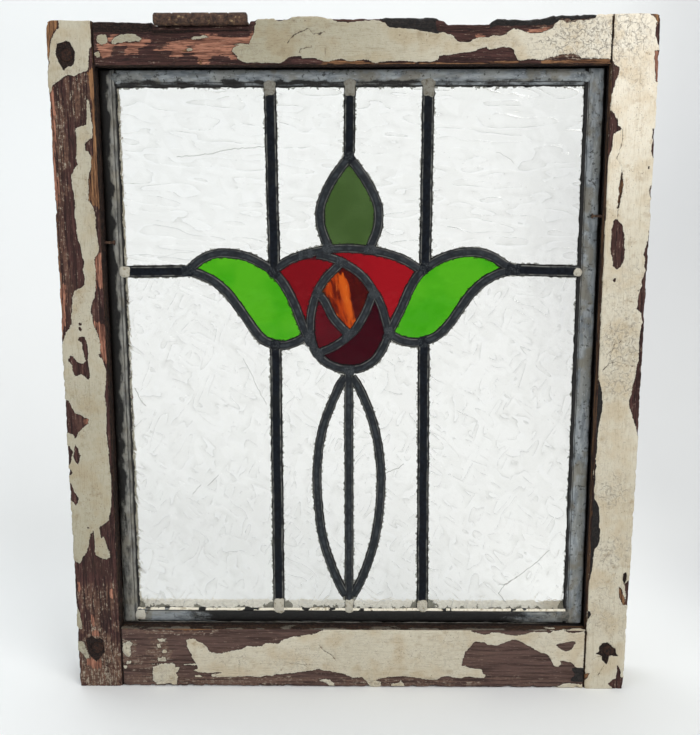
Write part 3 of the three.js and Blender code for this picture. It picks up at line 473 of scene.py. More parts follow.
def paint_layers(member, x, z, y):
    """Signed distances in mm for each layer at points of the outer face."""
    horizontal = member.startswith("rail")
    along, across = (x, z) if horizontal else (z, x)
    ragged = 0.55 * noise(along / 5, across / 3.2, y / 5, 3) + 0.32 * noise(along / 1.9, across / 1.3, y / 2, 4)
    ragged2 = 0.5 * noise(along / 6, across / 3.0, y / 5, 13) + 0.32 * noise(along / 2.1, across / 1.2, y / 2, 14)
    wx, wz = (x + ragged, z + ragged2) if not horizontal else (x + ragged * 1.4, z + ragged2)
    base, patches = PATCHES[member]
    f = {k: np.full(x.shape, 12.0 if k == base else -12.0) for k in LAYERS}
    for kind, text in patches:
        d = polygon_distance(wx, wz, pts(text))
        for k in LAYERS:
            f[k] = np.maximum(f[k], d) if k == kind else np.minimum(f[k], -d)
    return f


# ---------------------------------------------------------------- wood members
ROW = 0.9
PEG_SPOTS = {"peg_top_left": (-214.2, 512.1), "peg_bottom_left": (-214.2, 34.3), "peg_bottom_right": (214.2, 34.3)}


def line_points(a, b, step):
    n = max(2, int(round(math.dist(a, b) / step)) + 1)
    t = np.linspace(0, 1, n)[:, None]
    return np.array(a)[None] * (1 - t) + np.array(b)[None] * t


def section(width, flat):
    """Closed half section of a member: u, v, face kind, outward normal."""
    rows = []

    def run(p, kind, normal, drop_last=True):
        p = p[:-1] if drop_last else p
        rows.extend([(u, v, kind, normal[0], normal[1]) for u, v in p])

    d = 0.7
    run(line_points((1.0, FACE), (width - 1.3, FACE), 0.86), 0, (0, -1))
    rows.append((width - 1.3, FACE, 0, 0, -1))
    rows.append((width - 0.38, FACE + 0.38, 1, d, -d))
    run(line_points((width, FACE + 1.3), (width, STOP), 1.5), 1, (1, 0), False)
    run(line_points((width, STOP), (width, BACK - 1.4), 1.9), 6, (1, 0), False)
    run(line_points((width - 1.4, BACK), (3.0, BACK), 2.6), 2, (0, 1), False)
    for k in range(7):
        a = k / 6 * math.pi / 2
        rows.append((-STOP_WIDTH + OVOLO * (1 - math.sin(a)), BACK - OVOLO + OVOLO * math.cos(a), 3, -math.sin(a), math.cos(a)))
    run(line_points((-STOP_WIDTH, BACK - OVOLO - 1.5), (-STOP_WIDTH, STOP + 0.6), 2.2), 3, (-1, 0), False)
    run(line_points((-STOP_WIDTH + 0.6, STOP), (-0.2, STOP), 1.6), 4, (0, -1), False)
    run(line_points((0, STOP), (0, FACE + 0.9), 1.3), 5, (-1, 0), False)
    rows.append((0.3, FACE + 0.3, 5, -d, -d))
    return rows


def top_outline(x, v):
    """Height of the top edge of the sash above its underside."""
    xs = [-229, -190, -152, -149.2, -148.4, -76.2, -75.6, -72, -70, -48, -44, -26, -18, 0, 40, 62, 69, 71.6, 102, 104.5, 108, 120, 140, 143, 149, 170, 190, 215, 229]
    zs = [537.2, 536.4, 536, 536, 533.4, 533.4, 536.4, 536.8, 537.8, 537.8, 539.2, 539.4, 537.6, 537.7, 538, 537.8, 536.2, 533.2, 533.2, 535.2, 536.7, 536.4, 536.6, 537.4, 539, 539.2, 540, 540, 539.6]
    z = np.interp(x, xs, zs)
    z = z + 0.35 * fbm(x / 7, v / 9, 0, 2, 31)
    inner = 537.5 + 0.15 * fbm(x / 9, v / 9, 1, 2, 32)
    return z + (inner - z) * smooth(4, 8.5, v)


def member(name, side, axis, width, low, high):
    """Vertices, faces and layers of a stile (axis z) or rail (axis x)."""
    sec = section(width, 0)
    cols = len(sec)
    t = np.linspace(low, high, int(round((high - low) / ROW)) + 1)
    rows = len(t)
    u0 = np.array([s[0] for s in sec])
    v0 = np.array([s[1] for s in sec])
    kind = np.array([s[2] for s in sec])
    nu = np.array([s[3] for s in sec], float)
    nv = np.array([s[4] for s in sec], float)
    U, T = np.meshgrid(u0, t)
    V = np.meshgrid(v0, t)[0]
    K = np.meshgrid(kind, t)[0]
    NU, NV = np.meshgrid(nu, t)[0], np.meshgrid(nv, t)[0]
    horizontal = axis == "x"

    # where each spot is on the face of the sash, for the paint and for the noise
    if horizontal:
        back = (K == 2) | (K == 3) | (K == 6) | (K == 4)
        T = np.where(back, T * (183.7 / 193.7), T)
        X = T.copy()
        Zf = TOP_LOW + U if side > 0 else BOTTOM_HIGH - U
    else:
        X = side * (OPENING + U)
        Zf = T.copy()
    flat_x, flat_z = X.copy(), Zf.copy()

    # layers
    f = paint_layers(name, flat_x, flat_z, V)
    depth = np.maximum(V - FACE, 0)
    along = flat_x if horizontal else flat_z
    n_big = fbm(along / 34, (U + V) / 16, 0, 3, 41)
    n_mid = fbm(along / 9, (U + V) / 4.5, 0, 3, 42)
    n_fine = fbm(along / 3.5, (U + V) / 1.6, 0, 2, 43)
    cover = 3.2 * n_big + 2.2 * n_mid + 1.0 * n_fine
    other = {
        "C": cover + 0.9, "B": -(cover + 0.9), "P": 2.2 * fbm(along / 15, (U + V) / 6, 3, 3, 44) - 1.4,
        "W": 2.6 * fbm(along / 22, (U + V) / 3, 5, 3, 45) - 0.9, "K": np.full(U.shape, -6.0), "D": np.full(U.shape, -6.0),
    }
    if name == "rail_top":
        other["K"] = np.where(K == 1, 2.2 + 2.0 * n_mid - np.abs(flat_x - 128) / 14, -6)
        other["W"] = np.where((K == 1) & (np.abs(flat_x) < 190), 1.6 + 1.6 * n_mid, other["W"])
        other["C"] = np.where(K == 1, -1.6 + cover, other["C"])
    if name == "stile_left":
        other["C"] = np.where((K == 1) | (K == 6), cover - 0.4, other["C"])
    # sides take over from the front's edge within a few millimetres
    w = np.where(K == 0, 0.0, 1 - np.exp(-depth / 4.5))
    w = np.where((K == 2) | (K == 3) | (K == 6), 1.0, w)
    for k in LAYERS:
        f[k] = f[k] * (1 - w) + other[k] * w
    # back: mostly painted, rubbed through at its edges
    edge_wear = np.minimum(np.abs(U - width), 9) / 9
    f["C"] = np.where(K == 2, 2.4 + cover - 3.2 * (1 - edge_wear) ** 2, f["C"])
    f["C"] = np.where(K == 3, 1.8 + cover, f["C"])
    for k in "BPW":
        f[k] = np.where((K == 2) | (K == 3), np.minimum(f[k], -f["C"] + 0.3), f[k])
    # reveals: thin old paint, bare yellow wood and black on the wall deep in the rebate next to the lead
    reveal = (K == 5) | (K == 4)
    r_n = 1.4 * fbm(along / 11, V / 3, 7, 3, 46)
    if name == "rail_bottom":
        f["C"] = np.where(reveal, 0.5 + 1.5 * r_n - 0.25 * depth, f["C"])
        f["B"] = np.where(reveal, -1.4 - r_n, f["B"])
        f["W"] = np.where(reveal, 0.6 - r_n, f["W"])
    elif name == "stile_right":
        f["C"] = np.where(reveal, -0.6 + r_n - depth * 0.12, f["C"])
        f["B"] = np.where(reveal, 0.4 - r_n, f["B"])
        f["W"] = np.where(reveal, 0.2 + r_n, f["W"])
    else:
        f["C"] = np.where(reveal, -2.2 + r_n, f["C"])
        f["B"] = np.where(reveal, 0.8 - r_n, f["B"])
        f["W"] = np.where(reveal, -0.5 + r_n, f["W"])
    for k in "PKD":
        f[k] = np.where(reveal, -4, f[k])
    f["K"] = np.where(reveal, np.maximum(f["K"], 1.6 * smooth(-15.2, -12.6, V) * 2 - 1.8 + 0.6 * r_n), f["K"])

    # dark gaps where the members meet
    if horizontal:
        f["D"] = np.where(K == 0, np.maximum(f["D"], np.abs(X) - 193.0), f["D"])
    else:
        meets = (flat_z > TOP_LOW) | (flat_z < BOTTOM_HIGH)
        f["D"] = np.where((K == 0) & meets, np.maximum(f["D"], 0.75 - U), f["D"])

    # dirt and crazing
    craze = np.zeros(U.shape)
    for cx, cz, hw, hh, strength in CRAZED[name]:
        d = np.sqrt(((flat_x - cx) / hw) ** 2 + ((flat_z - cz) / hh) ** 2) + 0.55 * n_mid + 0.3 * n_fine
        craze = np.maximum(craze, strength * (1 - smooth(0.5, 1.35, d)))
    craze = np.where(K == 0, craze, 0.3 * smooth(-0.2, 0.6, n_big))
    dirt = 0.22 + 0.5 * smooth(-0.35, 0.75, fbm(along / 20, (U + V) / 10, 9, 3, 47))
    breaks = np.zeros(U.shape)
    for which, width_mm, points in BREAKS:
        if which != name:
            continue
        line = pts(points)
        lo, hi = line.min(0) - 5, line.max(0) + 5
        near = (flat_x > lo[0]) & (flat_x < hi[0]) & (flat_z > lo[1]) & (flat_z < hi[1]) & (K == 0)
        wob = 0.7 * fbm(flat_x[near] / 3, flat_z[near] / 3, 0, 2, 48)
        d = line_distance(flat_x[near] + wob, flat_z[near] - wob, line)
        breaks[near] = np.maximum(breaks[near], 1 - smooth(width_mm * 0.6, width_mm + 0.9, d))
    dirt = np.where(reveal, 0.8, np.maximum(dirt * 0.84, breaks))

    # relief
    c, b, p, wd, kk, dd = (smooth(-0.35, 0.35, f[k]) for k in "CBPWKD")
    grain_u = (U if K.ndim else U)
    grain = noise(along / 26, (U + V * 0.7) / 0.95, 0, 51) * 0.6 + noise(along / 9, (U + V * 0.7) / 0.55, 0, 52) * 0.4
    grain = -np.clip(-grain - 0.08, 0, 1)
    lift = np.exp(-((f["C"] - 0.5) / 0.7) ** 2) * (0.5 + 0.5 * fbm(along / 8, U / 8, 0, 2, 53))
    h = -0.42 * (1 - c) + 0.14 * p * (1 - c) - 0.22 * wd * (1 - c) + 0.5 * kk - 0.5 * dd
    h = h + 0.75 * grain * (1 - c * 0.86) + 0.12 * lift * c - 0.4 * breaks
    h = h + 0.30 * fbm(along / 46, (U + V) / 22, 0, 2, 54) + 0.10 * fbm(along / 6, (U + V) / 5, 0, 3, 55) * (0.5 + c)
    crack = np.abs(fbm(flat_x / 4.6, flat_z / 3.8, V / 5, 3, 56))
    h = h - 0.42 * craze * (1 - smooth(0.02, 0.15, crack)) * c + 0.25 * craze * c * fbm(flat_x / 2.6, flat_z / 2.6, V / 4, 2, 65)
    h = h + kk * 0.4 * fbm(along / 4, (U + V) / 3, 0, 2, 57)
    h = np.where((K == 4) | (K == 5), h * 0.5, h)
    # corners rubbed and chipped
    arris_out = (K == 1) & (depth < 1.0)
    near_arris = np.exp(-((U - width) ** 2 + depth ** 2) / 5.0)
    chip = smooth(0.05, 0.6, fbm(along / 6.5, 0, 0, 3, 58)) * 1.1 + 0.35 * (0.5 + 0.5 * noise(along / 2.2, 0, 0, 59))
    pull = near_arris * chip
    inner = np.exp(-(U ** 2 + depth ** 2) / 3.0)
    pull2 = inner * (smooth(0.0, 0.6, fbm(along / 5.5, 3, 0, 3, 60)) * 0.8 + 0.25)
    # three old peg holes: the wood sinks round the peg
    for px, pz in PEG_SPOTS.values():
        d = np.hypot(flat_x - px, flat_z - pz)
        if name.startswith("stile"):
            h = h - np.where(K == 0, 1.6 * (1 - smooth(2.5, 6.2, d + 0.9 * fbm(flat_x / 2, flat_z / 2, 0, 2, 61))), 0)

    du = NU * h - pull + pull2 * 0.6
    dv = NV * h + (pull + pull2) * 0.75
    Ud, Vd = U + du, V + dv
    if horizontal:
        if side > 0:
            top = top_outline(X, V)
            Z = TOP_LOW + Ud * np.where(U > 0, (top - TOP_LOW) / width, 1.0)
        else:
            Z = BOTTOM_HIGH - Ud
            Z = np.maximum(Z, 0.02)
        P = np.stack([X, Vd, Z], -1)
    else:
        # rounded outer corners at the head, softened ones at the foot
        Z = T.copy()
        top = top_outline(X, V)
        stretch = smooth(470, 537.5, Z)
        Z = Z + stretch * (top - HEIGHT) * np.where(np.abs(X) > 190, 1, 1)
        for r, head in ((6.4 if side < 0 else 4.6, True), (2.2, False)):
            a = (Ud - (width - r)) / r
            bb = (Z - (top - r)) / r if head else ((r - Z) / r)
            on = (a > 0) & (bb > 0)
            m = np.where(on, np.maximum(a, bb) / np.maximum(np.hypot(a, bb), 1e-9), 1)
            Ud = np.where(on, (width - r) + a * m * r, Ud)
            Z = np.where(on, (top - r) + bb * m * r if head else r - bb * m * r, Z)
        lean = np.interp(flat_z, [0, 60, 300, 537.5], [2.6, 2.2, 1.6, 1.0]) if side < 0 else np.interp(flat_z, [0, 60, 120, 300, 537.5], [-1.0, -0.8, 0.2, 0.7, 1.2])
        Ud = Ud + lean * smooth(14, width, U)
        Z = np.maximum(Z, 0.02)
        P = np.stack([side * (OPENING + Ud), Vd, Z], -1)
    verts = P.reshape(-1, 3)
    quads = grid_faces(rows, cols, True)
    lay = {k: f[k].reshape(-1) for k in LAYERS}
    craze, dirt, kindf = craze.reshape(-1), dirt.reshape(-1), (K != 0).astype(float).reshape(-1)

    # ends, as rings drawn in to a point
    tris = []
    cu, cv = 12.0, 4.0
    for r, row in enumerate((0, rows - 1)):
        ring_index = row * cols + np.arange(cols)
        ring = P[row].copy()
        if horizontal:
            middle = np.array([math.copysign(183.7, t[row]), cv, (TOP_LOW + cu) if side > 0 else BOTTOM_HIGH - cu])
            steps = [1.0]
        else:
            middle = np.array([side * (OPENING + cu), cv, ring[:, 2].mean()])
            steps = [0.12, 0.28, 0.5, 0.75, 1.0]
        for s in steps:
            if s == 1.0:
                index = np.full(cols, len(verts))
                new = middle[None]
            else:
                index = len(verts) + np.arange(cols)
                new = ring + (middle - ring) * s
                new = new.copy()
                new[:, 2] = ring[:, 2] * (1 - s) + middle[2] * s + (0.25 * fbm(new[:, 0] / 2, new[:, 1] / 2, row, 2, 62) - 0.2 if row else 0.12)
            verts = np.concatenate([verts, new])
            n_new = len(new)
            for k in LAYERS:
                value = {"C": -1.6, "B": 1.2, "P": -4, "W": 1.0, "K": -4, "D": -4}[k]
                lay[k] = np.concatenate([lay[k], np.full(n_new, value) + 1.8 * fbm(new[:, 0] / 6, new[:, 1] / 5, 3 + row, 3, 63) * (1 if k in "CB" else 0.6)])
            craze = np.concatenate([craze, np.zeros(n_new)])
            dirt = np.concatenate([dirt, np.full(n_new, 0.7)])
            kindf = np.concatenate([kindf, np.ones(n_new)])
            a, a2 = ring_index, np.roll(ring_index, -1)
            b_, b2 = index, np.roll(index, -1)
            if s == 1.0:
                tris.append(np.stack([a, a2, b_], 1))
            else:
                quads = np.concatenate([quads, np.stack([a, a2, b2, b_], 1)])
            ring_index = index
    enc = lambda k: np.clip(0.5 + lay[k] / 8, 0, 1)
    colours = {"lay1": np.stack([enc("C"), enc("B"), enc("P"), enc("W")], 1),
               "lay2": np.stack([enc("K"), enc("D"), np.clip(craze, 0, 1), np.clip(dirt, 0, 1)], 1)}
    zt = verts[:, 2]
    xt = verts[:, 0]
    n_t = fbm(xt / 60, verts[:, 1] / 60, zt / 60, 2, 64)
    # per-vertex tone: brightness of each member, partly the paint's own tone and partly painted light, rising towards
    # the top right and low down the left stile
    if name == "stile_left":
        tone_and_shade = np.interp(zt, [0, 120, 300, 537], [0.13, 0.19, 0.31, 0.35])
    elif name == "stile_right":
        tone_and_shade = np.interp(zt, [0, 60, 200, 300, 370, 430, 490, 537], [0.46, 0.46, 0.50, 0.52, 0.58, 0.76, 0.94, 1.0])
    elif name == "rail_top":
        tone_and_shade = np.interp(xt, [-194, -60, 20, 110, 194], [0.12, 0.17, 0.26, 0.50, 0.86])
    else:
        tone_and_shade = np.interp(xt, [-194, -60, 20, 110, 194], [0.40, 0.48, 0.46, 0.46, 0.48])
    ob = make_mesh("wood_" + name, verts, quads, np.concatenate(tris) if tris else None,
                   attributes={"tone_and_shade": np.clip(tone_and_shade + 0.05 * n_t, 0, 1), "aside": kindf}, colours=colours)
    outward(ob)
    return ob


def wood_material(name, horizontal):
    T = Tree(name)
    l1, l2 = T.attr("lay1"), T.attr("lay2")
    c0, b0, p0 = T.split(l1.outputs["Color"])
    w0 = l1.outputs["Alpha"]
    k0, d0, craze = T.split(l2.outputs["Color"])
    dirt = l2.outputs["Alpha"]
    tone_and_shade = T.attr("tone_and_shade").outputs["Fac"]
    long = (1, 1, 1)
    # millimetre coordinates, drawn out along the grain
    mm = T.coord((1000, 1000, 1000))
    grain = T.coord((40, 900, 900) if horizontal else (900, 900, 40))
    grain2 = T.coord((130, 1400, 1400) if horizontal else (1400, 1400, 130))
    fine = T.noise(mm, 1.15, 3, 0.6)
    mid = T.noise(mm, 0.42, 3, 0.6)
    g1 = T.noise(grain, 0.62, 3, 0.6, 0.4)
    g2 = T.noise(grain2, 0.9, 3, 0.65)
    broad = T.noise(mm, 0.045, 3, 0.55)
    # ragged edges, torn along the grain where the paint is thin
    jitter = T.math("ADD", T.math("MULTIPLY", T.math("SUBTRACT", fine, 0.5), 0.22), T.math("MULTIPLY", T.math("SUBTRACT", mid, 0.5), 0.12))
    jitter = T.math("ADD", jitter, T.math("MULTIPLY", T.math("SUBTRACT", g2, 0.5), 0.12))
    torn = T.math("ADD", T.math("MULTIPLY", T.math("SUBTRACT", g1, 0.5), 0.75), T.math("MULTIPLY", T.math("SUBTRACT", g2, 0.5), 0.45))
    jit_g = T.math("ADD", jitter, torn)
    edge = lambda v, j, s=0.014: T.ramp(T.math("ADD", v, j), 0.5 - s, 0.5 + s)
    cream_m = edge(c0, jitter)
    bare_m = edge(w0, jit_g, 0.03)
    pink_m = edge(p0, jit_g, 0.03)
    pitch_m = edge(k0, jitter)
    dark_m = edge(d0, jitter, 0.03)
    # cream: two tones, a shaded and a lit copy mixed by the per-vertex tone, painted light and shade over the paint's
    # own tone, yellowed in hollows, chalky
    cream = T.mix(tone_and_shade, srgb(146, 140, 114), srgb(255, 245, 225))
    cream = T.mix(T.ramp(mid, 0.35, 0.7, 0, 0.35), cream, T.mix(tone_and_shade, srgb(172, 168, 148), srgb(248, 243, 228)))
    cream = T.mix(T.ramp(broad, 0.44, 0.64, 0, 0.45), cream, T.mix(tone_and_shade, srgb(150, 132, 98), srgb(222, 198, 160)))
    cream = T.mix(T.ramp(g1, 0.42, 0.28, 0, 0.35), cream, T.mix(tone_and_shade, srgb(120, 110, 86), srgb(204, 184, 150)))
    stain = T.math("MULTIPLY", T.ramp(T.noise(mm, 0.17, 4, 0.65), 0.48, 0.72), T.math("MULTIPLY", dirt, 0.95))
    cream = T.mix(stain, cream, T.mix(tone_and_shade, srgb(104, 88, 62), srgb(184, 154, 112)))
    brushed = T.ramp(g2, 0.34, 0.46, 0.30, 0.0)
    cream = T.mix(brushed, cream, T.mix(tone_and_shade, srgb(96, 82, 62), srgb(176, 152, 118)))
    # crazing
    web_v = T.warp(mm, 5.2, 0.22)
    web = T.ramp(T.cells(web_v, 0.135), 0.0, 0.062, 1, 0)
    web2 = T.ramp(T.cells(T.warp(mm, 2.6, 0.5), 0.30), 0.0, 0.07, 1, 0)
    crazed = T.math("MULTIPLY", T.math("MAXIMUM", web, T.math("MULTIPLY", web2, 0.55)), craze, clamp=True)
    crazed = T.math("MULTIPLY", crazed, T.ramp(mid, 0.40, 0.58, 0.10, 1.0))
    cream = T.mix(T.math("MULTIPLY", crazed, 0.95), cream, T.mix(tone_and_shade, srgb(70, 54, 38), srgb(122, 90, 58)))
    # painted highlight: a pale band beside each crack of the crazing, where the lifted flakes would catch the light
    flake_edge_highlight = T.math("MULTIPLY", T.ramp(T.cells(web_v, 0.135), 0.06, 0.16, 1, 0), T.math("MULTIPLY", craze, 0.35), clamp=True)
    cream = T.mix(flake_edge_highlight, cream, T.mix(tone_and_shade, srgb(196, 190, 170), srgb(255, 252, 240)))
    specks = T.ramp(T.noise(mm, 0.85, 2, 0.5), 0.650, 0.69)
    specks = T.math("MULTIPLY", specks, T.ramp(dirt, 0.2, 0.75, 0.35, 1.0))
    cream = T.mix(specks, cream, srgb(84, 56, 42))
    # dark red-brown primer, worn along the grain
    brown = T.mix(T.ramp(g1, 0.32, 0.66), srgb(40, 22, 20), srgb(84, 54, 50))
    brown = T.mix(T.ramp(broad, 0.46, 0.62, 0, 0.55), brown, srgb(64, 42, 36))
    brown = T.mix(T.ramp(g2, 0.54, 0.70, 0, 0.45), brown, srgb(118, 90, 82))
    brown = T.mix(T.ramp(g2, 0.34, 0.44, 0.8, 0), brown, srgb(24, 13, 12))
    flecks = T.math("MULTIPLY", T.ramp(g2, 0.60, 0.66), T.ramp(fine, 0.50, 0.58))
    brown = T.mix(T.math("MULTIPLY", flecks, 0.75), brown, srgb(168, 148, 132))
    worn = T.math("MULTIPLY", T.ramp(T.math("ADD", g1, T.math("MULTIPLY", craze, 0.22)), 0.50, 0.68), T.ramp(craze, 0.1, 0.7))
    brown = T.mix(T.math("MULTIPLY", worn, 0.60), brown, T.mix(T.ramp(mid, 0.42, 0.58), srgb(110, 84, 70), srgb(148, 112, 90)))
    worn2 = T.math("MULTIPLY", T.ramp(T.math("ADD", T.math("ADD", T.math("MULTIPLY", g2, 0.6), T.math("MULTIPLY", mid, 0.4)), T.math("MULTIPLY", craze, 0.11)), 0.615, 0.655), T.ramp(craze, 0.15, 0.6))
    brown = T.mix(T.math("MULTIPLY", worn2, 0.9), brown, T.mix(T.ramp(fine, 0.42, 0.58), srgb(140, 124, 106), srgb(190, 178, 160)))
    if horizontal:
        foot = T.ramp(T.split(T.coord((1, 1, 1)))[2], 0.07, 0.05, 0, 0.5)
        brown = T.mix(T.math("MULTIPLY", foot, T.ramp(g1, 0.36, 0.60, 0.4, 1.0)), brown, srgb(118, 97, 88))
    # pink undercoat, bare wood, pitch
    pink = T.mix(T.ramp(g1, 0.34, 0.62), srgb(100, 62, 50), srgb(186, 130, 106))
    pink = T.mix(T.ramp(g2, 0.36, 0.52, 0.75, 0), pink, srgb(66, 36, 30))
    pink = T.mix(T.ramp(g2, 0.60, 0.72, 0, 0.6), pink, srgb(214, 170, 146))
    bare = T.mix(T.ramp(g1, 0.34, 0.64), srgb(92, 60, 42), srgb(166, 122, 84))
    bare = T.mix(T.ramp(g2, 0.36, 0.52, 0.75, 0), bare, srgb(54, 32, 24))
    bare = T.mix(T.math("MULTIPLY", T.ramp(dirt, 0.74, 0.8), 0.6), bare, srgb(58, 44, 32))
    brown = T.mix(T.math("MULTIPLY", T.ramp(dirt, 0.74, 0.8), 0.5), brown, srgb(34, 24, 18))
    pitch = T.mix(T.ramp(mid, 0.4, 0.7), srgb(16, 13, 12), srgb(42, 34, 31))
    dark = T.mix(T.ramp(fine, 0.42, 0.66), srgb(20, 13, 11), srgb(58, 38, 31))
    col = T.mix(bare_m, brown, bare)
    col = T.mix(pink_m, col, pink)
    # a dark line of painted shadow just outside the lifted edge of the cream paint
    edge_shade_and_grime = T.ramp(T.math("ADD", c0, jitter), 0.39, 0.50, 0, 0.6)
    col = T.mix(edge_shade_and_grime, col, srgb(34, 21, 18))
    col = T.mix(cream_m, col, cream)
    # painted highlight: a pale line just inside the edge of the cream paint, where the raised edge would catch the
    # light
    paint_edge_highlight = T.math("MULTIPLY", T.ramp(T.math("ADD", c0, jitter), 0.505, 0.545), T.ramp(T.math("ADD", c0, jitter), 0.60, 0.545))
    col = T.mix(T.math("MULTIPLY", paint_edge_highlight, 0.28), col, T.mix(tone_and_shade, srgb(206, 202, 184), srgb(255, 252, 240)))
    col = T.mix(dark_m, col, dark)
    col = T.mix(pitch_m, col, pitch)
    ox, oy, oz = T.split(T.coord((1, 1, 1)))
    # inner: the faces inside the opening in front of the glass, left of about x = 0.15 m
    inner = T.math("MULTIPLY", T.math("MULTIPLY", T.ramp(ox, -0.2035, -0.2015), T.ramp(ox, 0.170, 0.150)), T.math("MULTIPLY", T.ramp(oz, 0.0500, 0.0520), T.ramp(oz, 0.5075, 0.5055)))
    inner = T.math("MULTIPLY", inner, T.ramp(T.attr("aside").outputs["Fac"], 0.4, 0.7))
    # behind the glass the ledge along the foot keeps its pale paint
    behind = T.ramp(oy, -0.0070, -0.0055)
    ledge = T.math("MULTIPLY", T.math("MULTIPLY", behind, T.ramp(oz, 0.085, 0.080)), inner)
    inner = T.math("MULTIPLY", inner, T.math("SUBTRACT", 1.0, behind))
    col = T.mix(T.math("MULTIPLY", ledge, 0.92), col, T.mix(T.ramp(mid, 0.40, 0.62), srgb(222, 218, 204), srgb(244, 241, 230)))
    # painted shade: those faces inside the opening go almost black
    col = T.mix(T.math("MULTIPLY", inner, 0.82), col, T.mix(T.ramp(mid, 0.42, 0.62), srgb(16, 11, 9), srgb(58, 40, 31)))
    fresh = T.math("MULTIPLY", T.ramp(dirt, 0.88, 1.0), 0.85)
    col = T.mix(fresh, col, srgb(46, 28, 22))
    rough = T.mixf(cream_m, T.ramp(g2, 0.3, 0.7, 0.72, 0.92), T.ramp(mid, 0.3, 0.7, 0.50, 0.70))
    rough = T.mixf(pitch_m, rough, 0.42)
    height = T.math("ADD", T.math("MULTIPLY", cream_m, 0.75), T.math("MULTIPLY", T.math("SUBTRACT", 1.0, cream_m), T.math("MULTIPLY", g2, 1.3)))
    height = T.math("ADD", height, T.math("MULTIPLY", fine, 0.28))
    height = T.math("ADD", height, T.math("MULTIPLY", mid, 0.40))
    height = T.math("SUBTRACT", height, T.math("MULTIPLY", crazed, 0.8))
    height = T.math("ADD", height, T.math("MULTIPLY", T.math("MULTIPLY", g2, cream_m), 0.45))
    T.bump(height, 0.0013, 0.85)
    return T.set(base=col, rough=rough, spec=0.3)


wood_up = wood_material("softwood_upright", False)
wood_across = wood_material("softwood_level", True)
stile_left = place(member("stile_left", -1, "z", 34.5, 0.0, HEIGHT), wood_up, "painted_softwood", "stile_left")
stile_right = place(member("stile_right", 1, "z", 34.5, 0.0, HEIGHT), wood_up, "painted_softwood", "stile_right")
rail_top = place(member("rail_top", 1, "x", 33.5, -193.7, 193.7), wood_across, "painted_softwood", "rail_top")
rail_bottom = place(member("rail_bottom", -1, "x", 52.5, -193.7, 193.7), wood_across, "painted_softwood", "rail_bottom")


# ---------------------------------------------------------------- pegs, hinge, nails
def disc(name, cx, cz, radius, y_front, y_back, seed, wobble=0.12):
    """A short round peg lying along y with an uneven outline and a rough end."""
    n = 56
    ang = np.linspace(0, 2 * math.pi, n, endpoint=False)
    shape = radius * (1 + wobble * fbm(np.cos(ang) * 1.6, np.sin(ang) * 1.6, seed, 3, 71) + 0.04 * np.sign(np.sin(ang * 2.5 + seed)) * 0)
    rings = []
    for s in (0.12, 0.3, 0.5, 0.7, 0.86, 0.96, 1.0):
        y = y_front + 0.25 * s ** 6 + 0.35 * fbm(np.cos(ang) * s * 3, np.sin(ang) * s * 3, seed + 4, 3, 72)
        rings.append(np.stack([cx + shape * s * np.cos(ang), y, cz + shape * s * np.sin(ang)], 1))
    for y in np.linspace(y_front + 1.2, y_back - 0.3, 9):
        rings.append(np.stack([cx + (shape * 0.985) * np.cos(ang), np.full(n, y), cz + (shape * 0.985) * np.sin(ang)], 1))
    for s in (0.93, 0.6, 0.3):
        rings.append(np.stack([cx + shape * s * np.cos(ang), np.full(n, y_back), cz + shape * s * np.sin(ang)], 1))
    v = np.concatenate(rings)
    q = grid_faces(len(rings), n, True)
    v = np.concatenate([v, [[cx, y_front, cz], [cx, y_back, cz]]])
    i = np.arange(n)
    last = (len(rings) - 1) * n
    t = np.concatenate([np.stack([i, np.roll(i, -1), np.full(n, len(v) - 2)], 1), np.stack([last + i, last + np.roll(i, -1), np.full(n, len(v) - 1)], 1)])
    ob = make_mesh(name, v, q, t)
    outward(ob)
    return ob


T = Tree("end_grain")
mm = T.coord((1000, 1000, 1000))
fine, mid = T.noise(mm, 1.3, 3, 0.6), T.noise(mm, 0.45, 3, 0.6)
col = T.mix(T.ramp(mid, 0.36, 0.62), srgb(24, 15, 12), srgb(56, 36, 28))
col = T.mix(T.ramp(fine, 0.54, 0.70, 0, 0.5), col, srgb(92, 64, 48))
T.bump(fine, 0.0005, 0.7)
peg_wood = T.set(base=col, rough=T.ramp(mid, 0.3, 0.7, 0.8, 0.92), spec=0.3)
for k, (node, (px, pz)) in enumerate(PEG_SPOTS.items()):
    ob = disc("end_" + node, px, pz, 4.6, FACE + 0.9, FACE + 33, 3 + 5 * k)
    place(ob, peg_wood, "bare_peg_wood", node)

T = Tree("flaked_rust")
mm = T.coord((1000, 1000, 1000))
fine, mid, big = T.noise(mm, 1.1, 4, 0.65), T.noise(mm, 0.33, 4, 0.6), T.noise(mm, 0.12, 2, 0.5)
col = T.mix(T.ramp(mid, 0.36, 0.64), srgb(46, 32, 27), srgb(92, 66, 52))
col = T.mix(T.ramp(fine, 0.55, 0.68, 0, 0.75), col, srgb(128, 100, 72))
col = T.mix(T.math("MULTIPLY", T.ramp(mid, 0.58, 0.66), T.ramp(big, 0.45, 0.6)), col, srgb(156, 134, 98))
col = T.mix(T.ramp(fine, 0.30, 0.42, 0.8, 0), col, srgb(24, 18, 16))
T.bump(T.math("ADD", fine, mid), 0.0007, 0.8)
rust = T.set(base=col, rough=T.ramp(fine, 0.3, 0.7, 0.66, 0.92), metal=0.15)

HX0, HX1 = -147.1, -77.3


